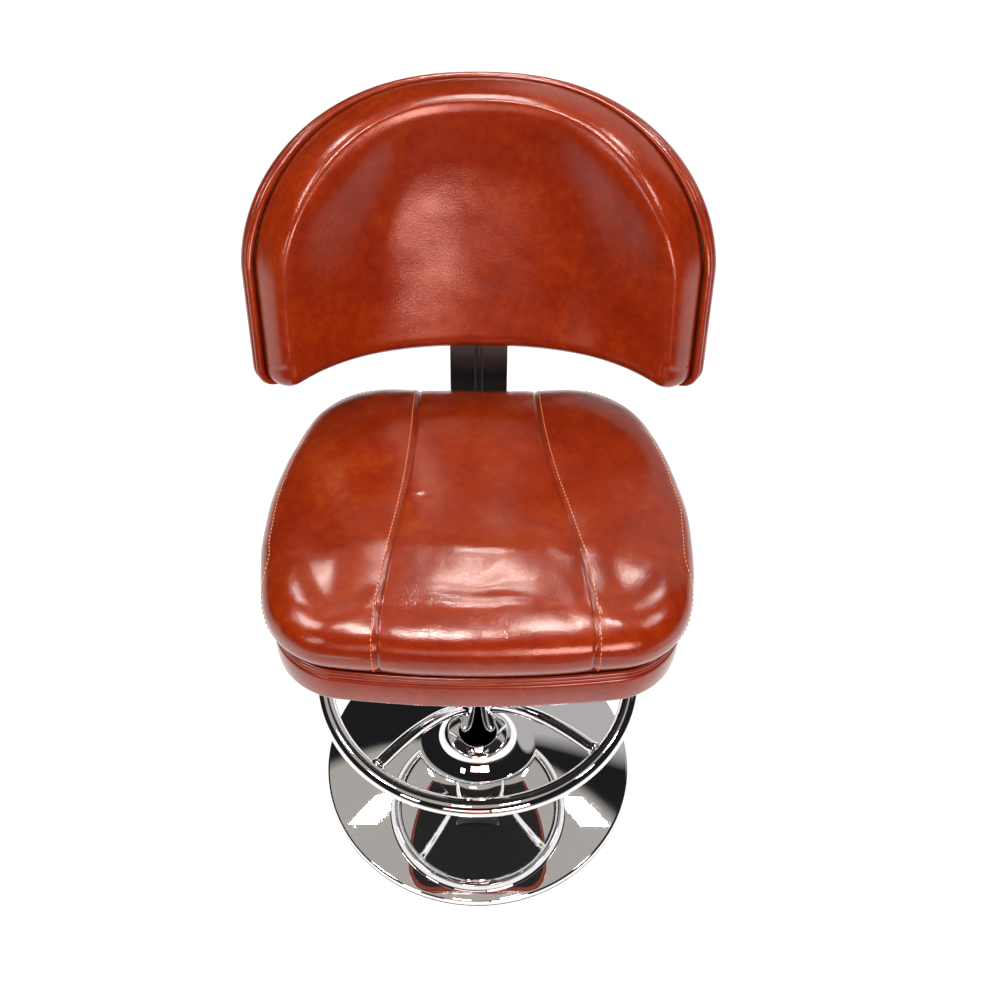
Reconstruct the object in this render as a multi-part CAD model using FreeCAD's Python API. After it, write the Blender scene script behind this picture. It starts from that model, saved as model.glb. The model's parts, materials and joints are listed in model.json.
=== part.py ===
"""Casino stool: trumpet base, column with foot ring, gas lift, swivelling seat and wrapped back.

Millimetres, +Z up. The origin is on the floor under the middle of the column, the sitter faces -Y.
"""

import FreeCAD, Part
import math
import os

V = FreeCAD.Vector

# Fits and gaps
RUNNING_FIT = 0.05
ASSEMBLY_GAP = 0.3
LINING_GAP = 0.2
OVERCUT = 1.0
LOFT_DEGREE = 3

# Base
BASE_RADIUS = 225.0
BASE_SHEET = 2.0
BASE_CONE_ANGLE = 10.5
RIM_LIP = 3.0
RIM_EDGE_RADIUS = 5.0
FLARE_RADIUS = 58.0
NECK_RADIUS = 42.0
NECK_ANGLE = 70.0
FLOOR_RING_THICKNESS = 3.0
FLOOR_RING_WIDTH = 14.0
FLOOR_RING_UPSTAND = 5.0
WEIGHT_EDGE_GAP = 6.0
WEIGHT_FLOOR_GAP = 1.0
WEIGHT_DOME_GAP = 0.6
HUB_WALL = 6.0
HUB_FLOOR = 6.0
HUB_FLANGE_RADIUS = 67.0
HUB_FLANGE_THICKNESS = 5.0
HUB_RIM_THICKNESS = 6.0
HUB_BOLT_CIRCLE = 50.0
HUB_BOLT_COUNT = 4
HUB_BOLT_LENGTH = 13.0
COLLAR_HEIGHT = 8.0
COLLAR_EDGE = 2.5
COLLAR_OVERHANG = 1.5
COLLAR_BULGE = 1.6

# Column and its bush
COLUMN_RADIUS = 25.5
COLUMN_WALL = 2.5
PLUG_THICKNESS = 6.0
BUSH_LENGTH = 80.0
BUSH_CAP = 4.0
LIFT_EXPOSED = 28.0

# Foot ring and arms
FOOT_RING_RADIUS = 205.5
FOOT_RING_TUBE = 11.5
FOOT_RING_HEIGHT = 235.0
ARM_RADIUS = 8.0
ARM_ROOT_HEIGHT = 165.0
ARM_ROOT_ANGLE = 50.0
ARM_COUNT = 4
ARM_NAMES = ("front_right", "rear_right", "rear_left", "front_left")
FOOT_RING_TURN = 5.0

# Gas lift and thrust bearing
STROKE = 110.0
LIFT_RADIUS = 14.0
LIFT_WALL = 2.5
LIFT_HEAD = 6.0
ROD_RADIUS = 5.0
ROD_SHOULDER_RADIUS = 8.0
ROD_SHOULDER = 4.0
ROD_TAIL = 4.0
CLIP_THICKNESS = 1.2
CLIP_RADIUS = 9.0
RACE_THICKNESS = 1.5
RACE_RADIUS = 15.0
BALL_DIAMETER = 4.8
BALL_GAP = 0.1
BALL_CIRCLE = 10.5
BALL_COUNT = 10
CAGE_THICKNESS = 1.6
BUMPER_HEIGHT = 12.0
BUMPER_RADIUS = 10.5
SEAL_LENGTH = 20.0
PISTON_LENGTH = 16.0
PISTON_MARGIN = 10.0
VALVE_RADIUS = 4.0
VALVE_DEPTH = 7.0
VALVE_RISE = 6.0

# Seat mechanism
PLATE_SIZE = 160.0
PLATE_THICKNESS = 4.0
PLATE_CORNER = 12.0
PLATE_BOLT_PITCH = 130.0
BOX_LENGTH = 84.0
BOX_WIDTH = 90.0
BOX_DEPTH = 32.0
BOX_WALL = 2.5
SOCKET_WALL = 6.0
SOCKET_LENGTH = 32.0
SOCKET_ABOVE_FLOOR = 10.0
LEVER_PIVOT_X = 28.0
LEVER_RADIUS = 4.0
LEVER_BOSS_RADIUS = 6.5
LEVER_BOSS_LENGTH = 12.0
LEVER_PIN_RADIUS = 3.0
LEVER_INNER_REACH = 6.0
LEVER_DROP = 24.0
LEVER_DROP_START = 20.0
LEVER_DROP_RUN = 46.0
LEVER_TRAVEL = 7.0
LEVER_SLOT_GAP = 1.0
LEVER_SIDE_TURN = 180.0
PADDLE_LENGTH = 62.0
PADDLE_WIDTH = 22.0
PADDLE_THICKNESS = 8.0
PADDLE_OVERLAP = 25.0
PADDLE_INSET = 12.0
PADDLE_CORNER = 6.5
PADDLE_EDGE = 2.4
EAR_THICKNESS = 2.5
EAR_LENGTH = 14.0

# Seat
SEAT_UNDERSIDE = 470.0
SEAT_HALF_WIDTH = 234.0
SEAT_FRONT = 225.0
SEAT_REAR = 184.0
SEAT_FRONT_CORNER_X = 206.0
SEAT_FRONT_CORNER_Y = 207.0
SEAT_REAR_CORNER_X = 176.0
SEAT_REAR_CORNER_Y = 180.0
SEAT_WIDEST_Y = -17.0
SEAT_FRONT_CORNER_RADIUS = 85.0
SEAT_REAR_CORNER_RADIUS = 98.0
BOARD_THICKNESS = 15.0
BAND_HEIGHT = 40.0
BAND_WALL = 14.0
BAND_SCALE = 0.972
BAND_TUCK = 0.015
BAND_EDGE = 4.8
WELT_RADIUS = 2.7
WELT_PROUD = 1.0
COVER_THICKNESS = 4.5
CUSHION_HEIGHT = 83.0
CUSHION_WIDEST = 26.0
CUSHION_DRAWN_IN = 0.055
CUSHION_FULLNESS = 3.0
CUSHION_LOWER_SECTIONS = 3
CUSHION_CROWN_ANGLES = (0, 14, 28, 42, 56, 68, 78)
CHANNEL_DEPTH = 3.0
CHANNEL_WIDTH = 5.0
CHANNEL_REAR_X = 70.0
CHANNEL_FRONT_X = 110.0
DUST_COVER_THICKNESS = 1.0
DUST_COVER_INSET = 6.0

# Back, in its own reclined frame: radius from the wrap axis, angle round it, height up it
BACK_RECLINE = 13.0
BACK_ORIGIN_Y = 204.0
BACK_ORIGIN_RISE = 178.0
BACK_WRAP_RADIUS = 380.0
BACK_HALF_ANGLE = 40.8
BACK_TOP = 288.0
BACK_ARCH_SIDE_POWER = 2.4
BACK_ARCH_TOP_POWER = 1.7
BACK_SHOULDER = 100.0
BACK_BOTTOM = -19.0
BACK_CORNER_DROP = 26.0
BACK_CORNER_RADIUS = 30.0
BACK_SECTIONS = 5
SHELL_THICKNESS = 10.0
REAR_PANEL_THICKNESS = 20.0
REAR_PANEL_EDGE = 12.0
REAR_PANEL_BULGE = 3.0
REAR_PANEL_END_THINNING = 0.45
BACK_WELT_GAP = 0.5
BACK_WELT_INSET = 4.0
BACK_WELT_ROOM = 3.5
BACK_WELT_STEPS = 10
BACK_WELT_SIDE_STEPS = 3
ROLL_THICKNESS = 52.0
ROLL_WIDTH = 66.0
ROLL_BULGE = 1.5
ROLL_BACK_BULGE = 11.0
ROLL_FOOT_WIDTH = 80.0
ROLL_END_NARROWING = 0.25
DISH_THICKNESS = 32.0
BACK_FOOT_THICKNESS = 38.0
BACK_FOOT_WIDTH = 26.0
BACK_FOOT_BULGE = 7.0
CUSHION_END_THINNING = 0.5
END_TAPER_POWER = 12
END_SPREAD_POWER = 4

# Back bar
BAR_WIDTH = 72.0
BAR_THICKNESS = 6.0
BAR_BEND_RADIUS = 26.0
BAR_FOOT_START = 92.0
BAR_HEAD_HEIGHT = 150.0
BAR_RIB_RADIUS = 7.0
BAR_RIB_HEIGHT = 2.5
BAR_RIB_END_GAP = 14.0
BAR_FOOT_BOLTS = ((-22.0, 20.0), (22.0, 20.0), (0.0, 56.0))
BACK_BOLT_HEIGHTS = (30.0, 120.0)
BACK_BOLT_X = 22.0

# Fasteners
BOLT_RADIUS = 4.0
BOLT_HEAD_RADIUS = 7.0
BOLT_HEAD_HEIGHT = 5.0
TEE_BARREL_RADIUS = 5.5
TEE_FLANGE_RADIUS = 9.0
TEE_FLANGE = 1.5
TEE_LENGTH = 9.0

# Levels from the floor up
rim_top = FLOOR_RING_THICKNESS + RIM_LIP
hub_bottom = FLOOR_RING_THICKNESS + WEIGHT_FLOOR_GAP
column_foot = hub_bottom + HUB_FLOOR
plug_top = column_foot + PLUG_THICKNESS
ball_base = plug_top + RACE_THICKNESS + BALL_GAP
upper_race = ball_base + BALL_DIAMETER + BALL_GAP
shoulder_base = upper_race + RACE_THICKNESS
bumper_base = shoulder_base + ROD_SHOULDER
lift_foot = bumper_base + BUMPER_HEIGHT + ASSEMBLY_GAP
piston_base = lift_foot + STROKE + SEAL_LENGTH + PISTON_MARGIN
plate_base = SEAT_UNDERSIDE - PLATE_THICKNESS
box_base = plate_base - BOX_DEPTH
socket_top = box_base + BOX_WALL + SOCKET_ABOVE_FLOOR
socket_base = socket_top - SOCKET_LENGTH
lift_top = socket_top
column_top = socket_base - LIFT_EXPOSED - BUSH_CAP
valve_top = lift_top + VALVE_RISE
lever_level = valve_top + ASSEMBLY_GAP + LEVER_RADIUS
board_top = SEAT_UNDERSIDE + BOARD_THICKNESS
band_top = SEAT_UNDERSIDE + BAND_HEIGHT
lower_welt = band_top + ASSEMBLY_GAP + WELT_RADIUS
upper_welt = lower_welt + 2 * WELT_RADIUS + ASSEMBLY_GAP
cushion_base = upper_welt + WELT_RADIUS + ASSEMBLY_GAP
back_origin_z = SEAT_UNDERSIDE + BACK_ORIGIN_RISE
bar_front = SHELL_THICKNESS + 2 * ASSEMBLY_GAP + REAR_PANEL_THICKNESS
back_welt_radius = SHELL_THICKNESS / 2 - BACK_WELT_GAP
shell_inset = BACK_WELT_INSET + back_welt_radius + BACK_WELT_ROOM
lift_bore = LIFT_RADIUS - LIFT_WALL
column_bore = COLUMN_RADIUS - COLUMN_WALL
hub_radius = COLUMN_RADIUS + RUNNING_FIT + HUB_WALL


def sine(degrees):
    return math.sin(math.radians(degrees))


def cosine(degrees):
    return math.cos(math.radians(degrees))


def cylinder(radius, low, high, x=0.0, y=0.0):
    return Part.makeCylinder(radius, high - low, V(x, y, low))


def ring(outer, inner, low, high):
    return cylinder(outer, low, high).cut(cylinder(inner, low - OVERCUT, high + OVERCUT))


def block(x_low, x_high, y_low, y_high, z_low, z_high):
    return Part.makeBox(x_high - x_low, y_high - y_low, z_high - z_low, V(x_low, y_low, z_low))


def line(start, end):
    return Part.makeLine(start, end)


def arc(start, middle, end):
    return Part.Arc(start, middle, end).toShape()


def bowed(start, end, toward, bulge):
    """An arc that stands out from its chord by `bulge`, on the side of the point `toward`."""
    chord = (end - start).normalize()
    aside = toward - start
    aside = (aside - chord * aside.dot(chord)).normalize()
    return arc(start, (start + end) / 2 + aside * bulge, end)


def at(radius, height):
    """A point of a turned profile."""
    return V(radius, 0, height)


def turned(edges):
    """The solid that a closed profile sweeps round the column's axis."""
    return Part.Face(Part.Wire(edges)).revolve(V(0, 0, 0), V(0, 0, 1), 360)


def turned_polygon(points):
    corners = [at(radius, height) for radius, height in points]
    return Part.Face(Part.makePolygon(corners + corners[:1])).revolve(V(0, 0, 0), V(0, 0, 1), 360)


def hexagon(radius, low, high, x, y):
    corners = [V(x + radius * cosine(60 * k), y + radius * sine(60 * k), low) for k in range(7)]
    return Part.Face(Part.makePolygon(corners)).extrude(V(0, 0, high - low))


def bolt(x, y, seat, length, up=True):
    """A hexagon bolt whose head bears on the level `seat`, its shank rising or falling from there."""
    if up:
        head = hexagon(BOLT_HEAD_RADIUS, seat - BOLT_HEAD_HEIGHT, seat, x, y)
        return head.fuse(cylinder(BOLT_RADIUS, seat, seat + length, x, y)).removeSplitter()
    head = hexagon(BOLT_HEAD_RADIUS, seat, seat + BOLT_HEAD_HEIGHT, x, y)
    return head.fuse(cylinder(BOLT_RADIUS, seat - length, seat, x, y)).removeSplitter()


def tee_nut(x, y, top):
    """A flanged nut pressed in from above, its flange level with `top`."""
    barrel = cylinder(TEE_BARREL_RADIUS, top - TEE_LENGTH, top, x, y)
    flange = cylinder(TEE_FLANGE_RADIUS, top - TEE_FLANGE, top, x, y)
    bore = cylinder(BOLT_RADIUS + RUNNING_FIT, top - TEE_LENGTH - OVERCUT, top + OVERCUT, x, y)
    return barrel.fuse(flange).removeSplitter().cut(bore)


def tee_nut_hole(x, y, low, top):
    """The stepped hole that a tee nut and its bolt take."""
    through = cylinder(TEE_BARREL_RADIUS + ASSEMBLY_GAP, low - OVERCUT, top + OVERCUT, x, y)
    recess_base = top - TEE_FLANGE - LINING_GAP
    recess = cylinder(TEE_FLANGE_RADIUS + ASSEMBLY_GAP, recess_base, top + OVERCUT, x, y)
    return through.fuse(recess)


def pipe(path, radius):
    """A round bar along a wire, starting square to its first edge."""
    edge = path.Edges[0]
    start = path.OrderedVertexes[0].Point
    first = edge.FirstParameter
    if (edge.valueAt(first) - start).Length > (edge.valueAt(edge.LastParameter) - start).Length:
        first = edge.LastParameter
    section = Part.Wire(Part.makeCircle(radius, start, edge.tangentAt(first)))
    return path.makePipeShell([section], True, False)


# Base


def dome_geometry():
    """Centre of the flare's arc, and the middle of the rim's rounded edge."""
    edge = V(BASE_RADIUS - RIM_EDGE_RADIUS, 0, rim_top)
    normal = V(sine(BASE_CONE_ANGLE), 0, cosine(BASE_CONE_ANGLE))
    start = edge + normal * RIM_EDGE_RADIUS
    flare_x = NECK_RADIUS + FLARE_RADIUS * sine(NECK_ANGLE)
    foot_x = flare_x - FLARE_RADIUS * sine(BASE_CONE_ANGLE)
    foot_z = start.z + (start.x - foot_x) * math.tan(math.radians(BASE_CONE_ANGLE))
    return V(flare_x, 0, foot_z + FLARE_RADIUS * cosine(BASE_CONE_ANGLE)), edge


def flare_point(centre, depth, angle):
    return centre - V(sine(angle), 0, cosine(angle)) * (FLARE_RADIUS + depth)


def dome_under(radius):
    """Height of the dome's underside on its conical part."""
    centre, edge = dome_geometry()
    foot = flare_point(centre, BASE_SHEET, BASE_CONE_ANGLE)
    return foot.z - (radius - foot.x) * math.tan(math.radians(BASE_CONE_ANGLE))


def neck_top():
    centre, edge = dome_geometry()
    return flare_point(centre, 0, NECK_ANGLE).z


def base_dome():
    centre, edge = dome_geometry()
    middle_angle = (BASE_CONE_ANGLE + NECK_ANGLE) / 2
    bevel = (90 + BASE_CONE_ANGLE) / 2
    sides = []
    for depth in (0, BASE_SHEET):
        corner = RIM_EDGE_RADIUS - depth
        foot = at(BASE_RADIUS - depth, FLOOR_RING_THICKNESS)
        lip = at(BASE_RADIUS - depth, rim_top)
        turn = edge + V(sine(bevel), 0, cosine(bevel)) * corner
        start = edge + V(sine(BASE_CONE_ANGLE), 0, cosine(BASE_CONE_ANGLE)) * corner
        flare = [flare_point(centre, depth, a) for a in (BASE_CONE_ANGLE, middle_angle, NECK_ANGLE)]
        edges = [line(foot, lip), arc(lip, turn, start), line(start, flare[0]), arc(*flare)]
        sides.append((foot, edges, flare[-1]))
    outer, inner = sides
    ends = [line(outer[2], inner[2]), line(inner[0], outer[0])]
    return turned(Part.__sortEdges__(outer[1] + inner[1] + ends))


def floor_ring():
    flat = ring(BASE_RADIUS, BASE_RADIUS - FLOOR_RING_WIDTH, 0, FLOOR_RING_THICKNESS)
    outer = BASE_RADIUS - BASE_SHEET - LINING_GAP
    upstand = ring(outer, outer - FLOOR_RING_UPSTAND, 0, rim_top)
    return flat.fuse(upstand).removeSplitter()


def weight_outer():
    return BASE_RADIUS - FLOOR_RING_WIDTH - WEIGHT_EDGE_GAP


def weight_crest():
    """Radius and height where the ballast's sloping top turns level, below the foot of the flare."""
    centre, edge = dome_geometry()
    radius = flare_point(centre, BASE_SHEET, BASE_CONE_ANGLE).x
    return radius, dome_under(radius) - WEIGHT_DOME_GAP


def hub_bolt_places():
    turn = 360.0 / HUB_BOLT_COUNT
    return [(HUB_BOLT_CIRCLE * cosine(turn * k), HUB_BOLT_CIRCLE * sine(turn * k))
            for k in range(HUB_BOLT_COUNT)]


def base_weight():
    inner = hub_radius + ASSEMBLY_GAP
    outer = weight_outer()
    crest, top = weight_crest()
    shape = turned_polygon([(inner, hub_bottom), (outer, hub_bottom),
                            (outer, dome_under(outer) - WEIGHT_DOME_GAP), (crest, top), (inner, top)])
    for x, y in hub_bolt_places():
        hole = cylinder(BOLT_RADIUS + RUNNING_FIT, hub_bottom - OVERCUT, top + OVERCUT, x, y)
        shape = shape.cut(hole)
    return shape


def base_hub():
    """Socket for the column, with the flange that carries the ballast and a rim inside the neck."""
    top = neck_top() - BASE_SHEET
    crest, flange = weight_crest()
    rim = NECK_RADIUS - BASE_SHEET - ASSEMBLY_GAP
    shape = cylinder(hub_radius, hub_bottom, top)
    shape = shape.fuse(cylinder(HUB_FLANGE_RADIUS, flange, flange + HUB_FLANGE_THICKNESS))
    shape = shape.fuse(cylinder(rim, top - HUB_RIM_THICKNESS, top)).removeSplitter()
    shape = shape.cut(cylinder(COLUMN_RADIUS + RUNNING_FIT, column_foot, top + OVERCUT))
    shape = shape.cut(cylinder(CLIP_RADIUS + ROD_TAIL, hub_bottom - OVERCUT, top))
    for x, y in hub_bolt_places():
        hole = cylinder(BOLT_RADIUS + RUNNING_FIT, flange - OVERCUT,
                        flange + HUB_FLANGE_THICKNESS + OVERCUT, x, y)
        shape = shape.cut(hole)
    return shape


def hub_bolts():
    crest, flange = weight_crest()
    seat = flange + HUB_FLANGE_THICKNESS
    return Part.makeCompound([bolt(x, y, seat, HUB_BOLT_LENGTH, up=False)
                              for x, y in hub_bolt_places()])


def foot_collar():
    low = neck_top() + RUNNING_FIT
    inner = COLUMN_RADIUS + RUNNING_FIT
    outer = NECK_RADIUS + COLLAR_OVERHANG
    top = low + COLLAR_HEIGHT
    shoulder = at(outer, low + COLLAR_EDGE)
    crown = at(inner + COLLAR_EDGE, top)
    edges = [line(at(inner, low), at(outer, low)), line(at(outer, low), shoulder),
             bowed(shoulder, crown, at(outer, top), COLLAR_BULGE),
             line(crown, at(inner, top)), line(at(inner, top), at(inner, low))]
    return turned(edges)


# Column


def column_tube():
    return ring(COLUMN_RADIUS, column_bore, column_foot, column_top)


def column_plug():
    return ring(column_bore - RUNNING_FIT, ROD_RADIUS + RUNNING_FIT, column_foot, plug_top)


def guide_bush():
    sleeve = cylinder(column_bore - RUNNING_FIT, column_top - BUSH_LENGTH, column_top)
    cap = cylinder(COLUMN_RADIUS, column_top, column_top + BUSH_CAP)
    bore = cylinder(LIFT_RADIUS + RUNNING_FIT, column_top - BUSH_LENGTH - OVERCUT,
                    column_top + BUSH_CAP + OVERCUT)
    return sleeve.fuse(cap).removeSplitter().cut(bore)


# Foot rest


def ring_tube(radius):
    return Part.makeTorus(FOOT_RING_RADIUS, radius, V(0, 0, FOOT_RING_HEIGHT))


def foot_ring():
    return ring_tube(FOOT_RING_TUBE)


def foot_arm(index):
    """A bent bar that leaves the column rising and runs out level into the ring."""
    bend = (FOOT_RING_HEIGHT - ARM_ROOT_HEIGHT) / (1 - cosine(ARM_ROOT_ANGLE))
    centre_z = FOOT_RING_HEIGHT - bend
    end_x = COLUMN_RADIUS + bend * sine(ARM_ROOT_ANGLE)
    points = [V(end_x - bend * sine(a), 0, centre_z + bend * cosine(a))
              for a in (ARM_ROOT_ANGLE, ARM_ROOT_ANGLE / 2, 0)]
    root_step = V(cosine(ARM_ROOT_ANGLE), 0, sine(ARM_ROOT_ANGLE)) * (2 * ARM_RADIUS)
    root = points[0] - root_step
    tip = V(FOOT_RING_RADIUS, 0, FOOT_RING_HEIGHT)
    path = Part.Wire([line(root, points[0]), arc(*points), line(points[2], tip)])
    arm = pipe(path, ARM_RADIUS)
    arm = arm.cut(cylinder(COLUMN_RADIUS + RUNNING_FIT, 0, column_top))
    arm = arm.cut(ring_tube(FOOT_RING_TUBE + RUNNING_FIT))
    arm = max(arm.Solids, key=lambda solid: solid.Volume)
    spacing = 360.0 / ARM_COUNT
    arm.rotate(V(0, 0, 0), V(0, 0, 1), -90 + spacing / 2 + spacing * index + FOOT_RING_TURN)
    return arm


# Swivel and lift


def ball_places():
    turn = 360.0 / BALL_COUNT
    middle = ball_base + BALL_DIAMETER / 2
    return [V(BALL_CIRCLE * cosine(turn * k), BALL_CIRCLE * sine(turn * k), middle)
            for k in range(BALL_COUNT)]


def bearing_race(low):
    return ring(RACE_RADIUS, ROD_RADIUS + RUNNING_FIT, low, low + RACE_THICKNESS)


def bearing_balls():
    return Part.makeCompound([Part.makeSphere(BALL_DIAMETER / 2, place) for place in ball_places()])


def bearing_cage():
    middle = ball_base + BALL_DIAMETER / 2
    half = CAGE_THICKNESS / 2
    cage = ring(RACE_RADIUS, ROD_RADIUS + ASSEMBLY_GAP, middle - half, middle + half)
    for place in ball_places():
        cage = cage.cut(cylinder(BALL_DIAMETER / 2 + BALL_GAP, middle - CAGE_THICKNESS,
                                 middle + CAGE_THICKNESS, place.x, place.y))
    return cage


def clip_top():
    return column_foot - ASSEMBLY_GAP


def piston_rod():
    """Rod with the shoulder that stands on the bearing, and a groove for the clip under the plug."""
    tail = clip_top() - CLIP_THICKNESS - ROD_TAIL / 2
    shape = cylinder(ROD_RADIUS, tail, piston_base + PISTON_LENGTH)
    shape = shape.fuse(cylinder(ROD_SHOULDER_RADIUS, shoulder_base, bumper_base)).removeSplitter()
    groove_base = clip_top() - CLIP_THICKNESS
    groove = ring(ROD_RADIUS + OVERCUT, ROD_RADIUS - CLIP_THICKNESS, groove_base, clip_top())
    return shape.cut(groove)


def rod_clip():
    inner = ROD_RADIUS - CLIP_THICKNESS + RUNNING_FIT
    low = clip_top() - CLIP_THICKNESS + RUNNING_FIT
    high = clip_top() - RUNNING_FIT
    slot = block(0, CLIP_RADIUS + OVERCUT, -inner, inner, low - OVERCUT, high + OVERCUT)
    return ring(CLIP_RADIUS, inner, low, high).cut(slot)


def rod_bumper():
    return ring(BUMPER_RADIUS, ROD_RADIUS + RUNNING_FIT, bumper_base, bumper_base + BUMPER_HEIGHT)


def piston():
    bore = ROD_RADIUS + RUNNING_FIT
    return ring(lift_bore - RUNNING_FIT, bore, piston_base, piston_base + PISTON_LENGTH)


def lift_tube():
    shape = cylinder(LIFT_RADIUS, lift_foot, lift_top)
    shape = shape.cut(cylinder(lift_bore, lift_foot - OVERCUT, lift_top - LIFT_HEAD))
    head_base = lift_top - LIFT_HEAD
    return shape.cut(cylinder(VALVE_RADIUS + RUNNING_FIT, head_base - OVERCUT, lift_top + OVERCUT))


def rod_seal():
    return ring(lift_bore - RUNNING_FIT, ROD_RADIUS + RUNNING_FIT, lift_foot, lift_foot + SEAL_LENGTH)


def valve_pin():
    return cylinder(VALVE_RADIUS, lift_top - LIFT_HEAD - VALVE_DEPTH, valve_top)


# Seat mechanism


def taper_socket():
    bore = LIFT_RADIUS + RUNNING_FIT
    return ring(bore + SOCKET_WALL, bore, socket_base, socket_top)


def to_lever_side(shape):
    """Turns what is drawn along +X to the side that the sitter's right hand reaches."""
    placed = shape.copy()
    placed.rotate(V(0, 0, 0), V(0, 0, 1), LEVER_SIDE_TURN)
    return placed


def lever_slot():
    """Room in the box's right wall for the lever over its whole travel."""
    reach = BOX_LENGTH / 2 - LEVER_PIVOT_X
    rise = (reach + BOX_WALL) * math.tan(math.radians(LEVER_TRAVEL))
    half = LEVER_RADIUS + LEVER_SLOT_GAP
    return to_lever_side(block(BOX_LENGTH / 2 - 2 * BOX_WALL, BOX_LENGTH / 2 + OVERCUT, -half, half,
                               lever_level - half, lever_level + half + rise))


def mechanism_box():
    half_x = BOX_LENGTH / 2
    half_y = BOX_WIDTH / 2
    shape = block(-half_x, half_x, -half_y, half_y, box_base, plate_base)
    inner_x = half_x - BOX_WALL
    inner_y = half_y - BOX_WALL
    floor = box_base + BOX_WALL
    shape = shape.cut(block(-inner_x, inner_x, -inner_y, inner_y, floor, plate_base + OVERCUT))
    socket = LIFT_RADIUS + RUNNING_FIT + SOCKET_WALL + RUNNING_FIT
    return shape.cut(cylinder(socket, box_base - OVERCUT, socket_top)).cut(lever_slot())


def plate_bolt_places():
    half = PLATE_BOLT_PITCH / 2
    return [(x, y) for x in (-half, half) for y in (-half, half)]


def upright_edges(shape):
    return [edge for edge in shape.Edges if edge.BoundBox.ZLength > edge.Length / 2]


def seat_plate():
    half = PLATE_SIZE / 2
    shape = block(-half, half, -half, half, plate_base, SEAT_UNDERSIDE)
    shape = shape.makeFillet(PLATE_CORNER, upright_edges(shape))
    for x, y in plate_bolt_places():
        hole = cylinder(BOLT_RADIUS + ASSEMBLY_GAP, plate_base - OVERCUT, SEAT_UNDERSIDE + OVERCUT, x, y)
        shape = shape.cut(hole)
    return shape


def plate_bolts():
    length = PLATE_THICKNESS + BOARD_THICKNESS - TEE_FLANGE
    return Part.makeCompound([bolt(x, y, plate_base, length) for x, y in plate_bolt_places()])


def plate_tee_nuts():
    return Part.makeCompound([tee_nut(x, y, board_top - LINING_GAP) for x, y in plate_bolt_places()])


def ear_gap():
    """Half the distance between the two ears that carry the lever's pin."""
    return LEVER_BOSS_LENGTH / 2 + ASSEMBLY_GAP


def lever_cylinder(radius, half):
    """A cylinder along the lever's hinge line."""
    return Part.makeCylinder(radius, 2 * half, V(LEVER_PIVOT_X, -half, lever_level), V(0, 1, 0))


def lever_bracket():
    floor = box_base + BOX_WALL
    half = ear_gap() + EAR_THICKNESS
    low = LEVER_PIVOT_X - EAR_LENGTH / 2
    high = LEVER_PIVOT_X + EAR_LENGTH / 2
    inner = LIFT_RADIUS + SOCKET_WALL + ASSEMBLY_GAP
    top = lever_level + LEVER_BOSS_RADIUS
    shape = block(low, high, -half, half, floor, top)
    shape = shape.cut(block(low - OVERCUT, high + OVERCUT, -ear_gap(), ear_gap(),
                            floor + EAR_THICKNESS, top + OVERCUT))
    shape = shape.cut(cylinder(inner, floor - OVERCUT, top + OVERCUT))
    return to_lever_side(shape.cut(lever_cylinder(LEVER_PIN_RADIUS + RUNNING_FIT, half + OVERCUT)))


def lever_pin():
    return to_lever_side(lever_cylinder(LEVER_PIN_RADIUS, ear_gap() + EAR_THICKNESS))


def paddle_end():
    return SEAT_HALF_WIDTH * BAND_SCALE - PADDLE_INSET


def height_lever():
    """A cranked rod: over the valve pin, through the box's wall, down and out to the paddle."""
    outer_z = lever_level - LEVER_DROP
    bend = LEVER_PIVOT_X + LEVER_DROP_START
    outer_x = paddle_end() - PADDLE_LENGTH + PADDLE_OVERLAP
    points = [V(-LEVER_INNER_REACH, 0, lever_level), V(bend, 0, lever_level),
              V(bend + LEVER_DROP_RUN, 0, outer_z), V(outer_x, 0, outer_z)]
    boss_half = LEVER_BOSS_LENGTH / 2
    shape = lever_cylinder(LEVER_BOSS_RADIUS, boss_half)
    for start, end in zip(points, points[1:]):
        shape = shape.fuse(Part.makeCylinder(LEVER_RADIUS, (end - start).Length, start, end - start))
    for corner in points[1:-1]:
        shape = shape.fuse(Part.makeSphere(LEVER_RADIUS, corner))
    hole = lever_cylinder(LEVER_PIN_RADIUS + RUNNING_FIT, boss_half + OVERCUT)
    return to_lever_side(shape.removeSplitter().cut(hole))


def lever_paddle():
    end = paddle_end()
    middle = lever_level - LEVER_DROP
    half_y = PADDLE_WIDTH / 2
    half_z = PADDLE_THICKNESS / 2 + LEVER_RADIUS / 2
    shape = block(end - PADDLE_LENGTH, end, -half_y, half_y, middle - half_z, middle + half_z)
    shape = shape.makeFillet(PADDLE_CORNER, upright_edges(shape))
    level = [edge for edge in shape.Edges if abs(edge.CenterOfMass.z - middle) > half_z / 2]
    shape = shape.makeFillet(PADDLE_EDGE, level)
    depth = PADDLE_OVERLAP + ASSEMBLY_GAP + OVERCUT
    bore = Part.makeCylinder(LEVER_RADIUS + RUNNING_FIT, depth,
                             V(end - PADDLE_LENGTH - OVERCUT, 0, middle), V(1, 0, 0))
    return to_lever_side(shape.cut(bore))


# Seat


def rounded_corner(one, two, radius, near):
    """The arc that rounds the corner where two bowed sides meet, inside both of their circles."""
    reach_one = one.Radius - radius
    reach_two = two.Radius - radius
    across = two.Center - one.Center
    along = (reach_one ** 2 - reach_two ** 2 + across.Length ** 2) / (2 * across.Length)
    aside = math.sqrt(reach_one ** 2 - along ** 2)
    unit = across / across.Length
    normal = V(-unit.y, unit.x, 0)
    places = [one.Center + unit * along + normal * aside * side for side in (-1, 1)]
    centre = min(places, key=lambda place: (place - near).Length)
    start = centre + (centre - one.Center).normalize() * radius
    end = centre + (centre - two.Center).normalize() * radius
    middle = centre + (start + end - centre * 2).normalize() * radius
    return start, middle, end


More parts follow.
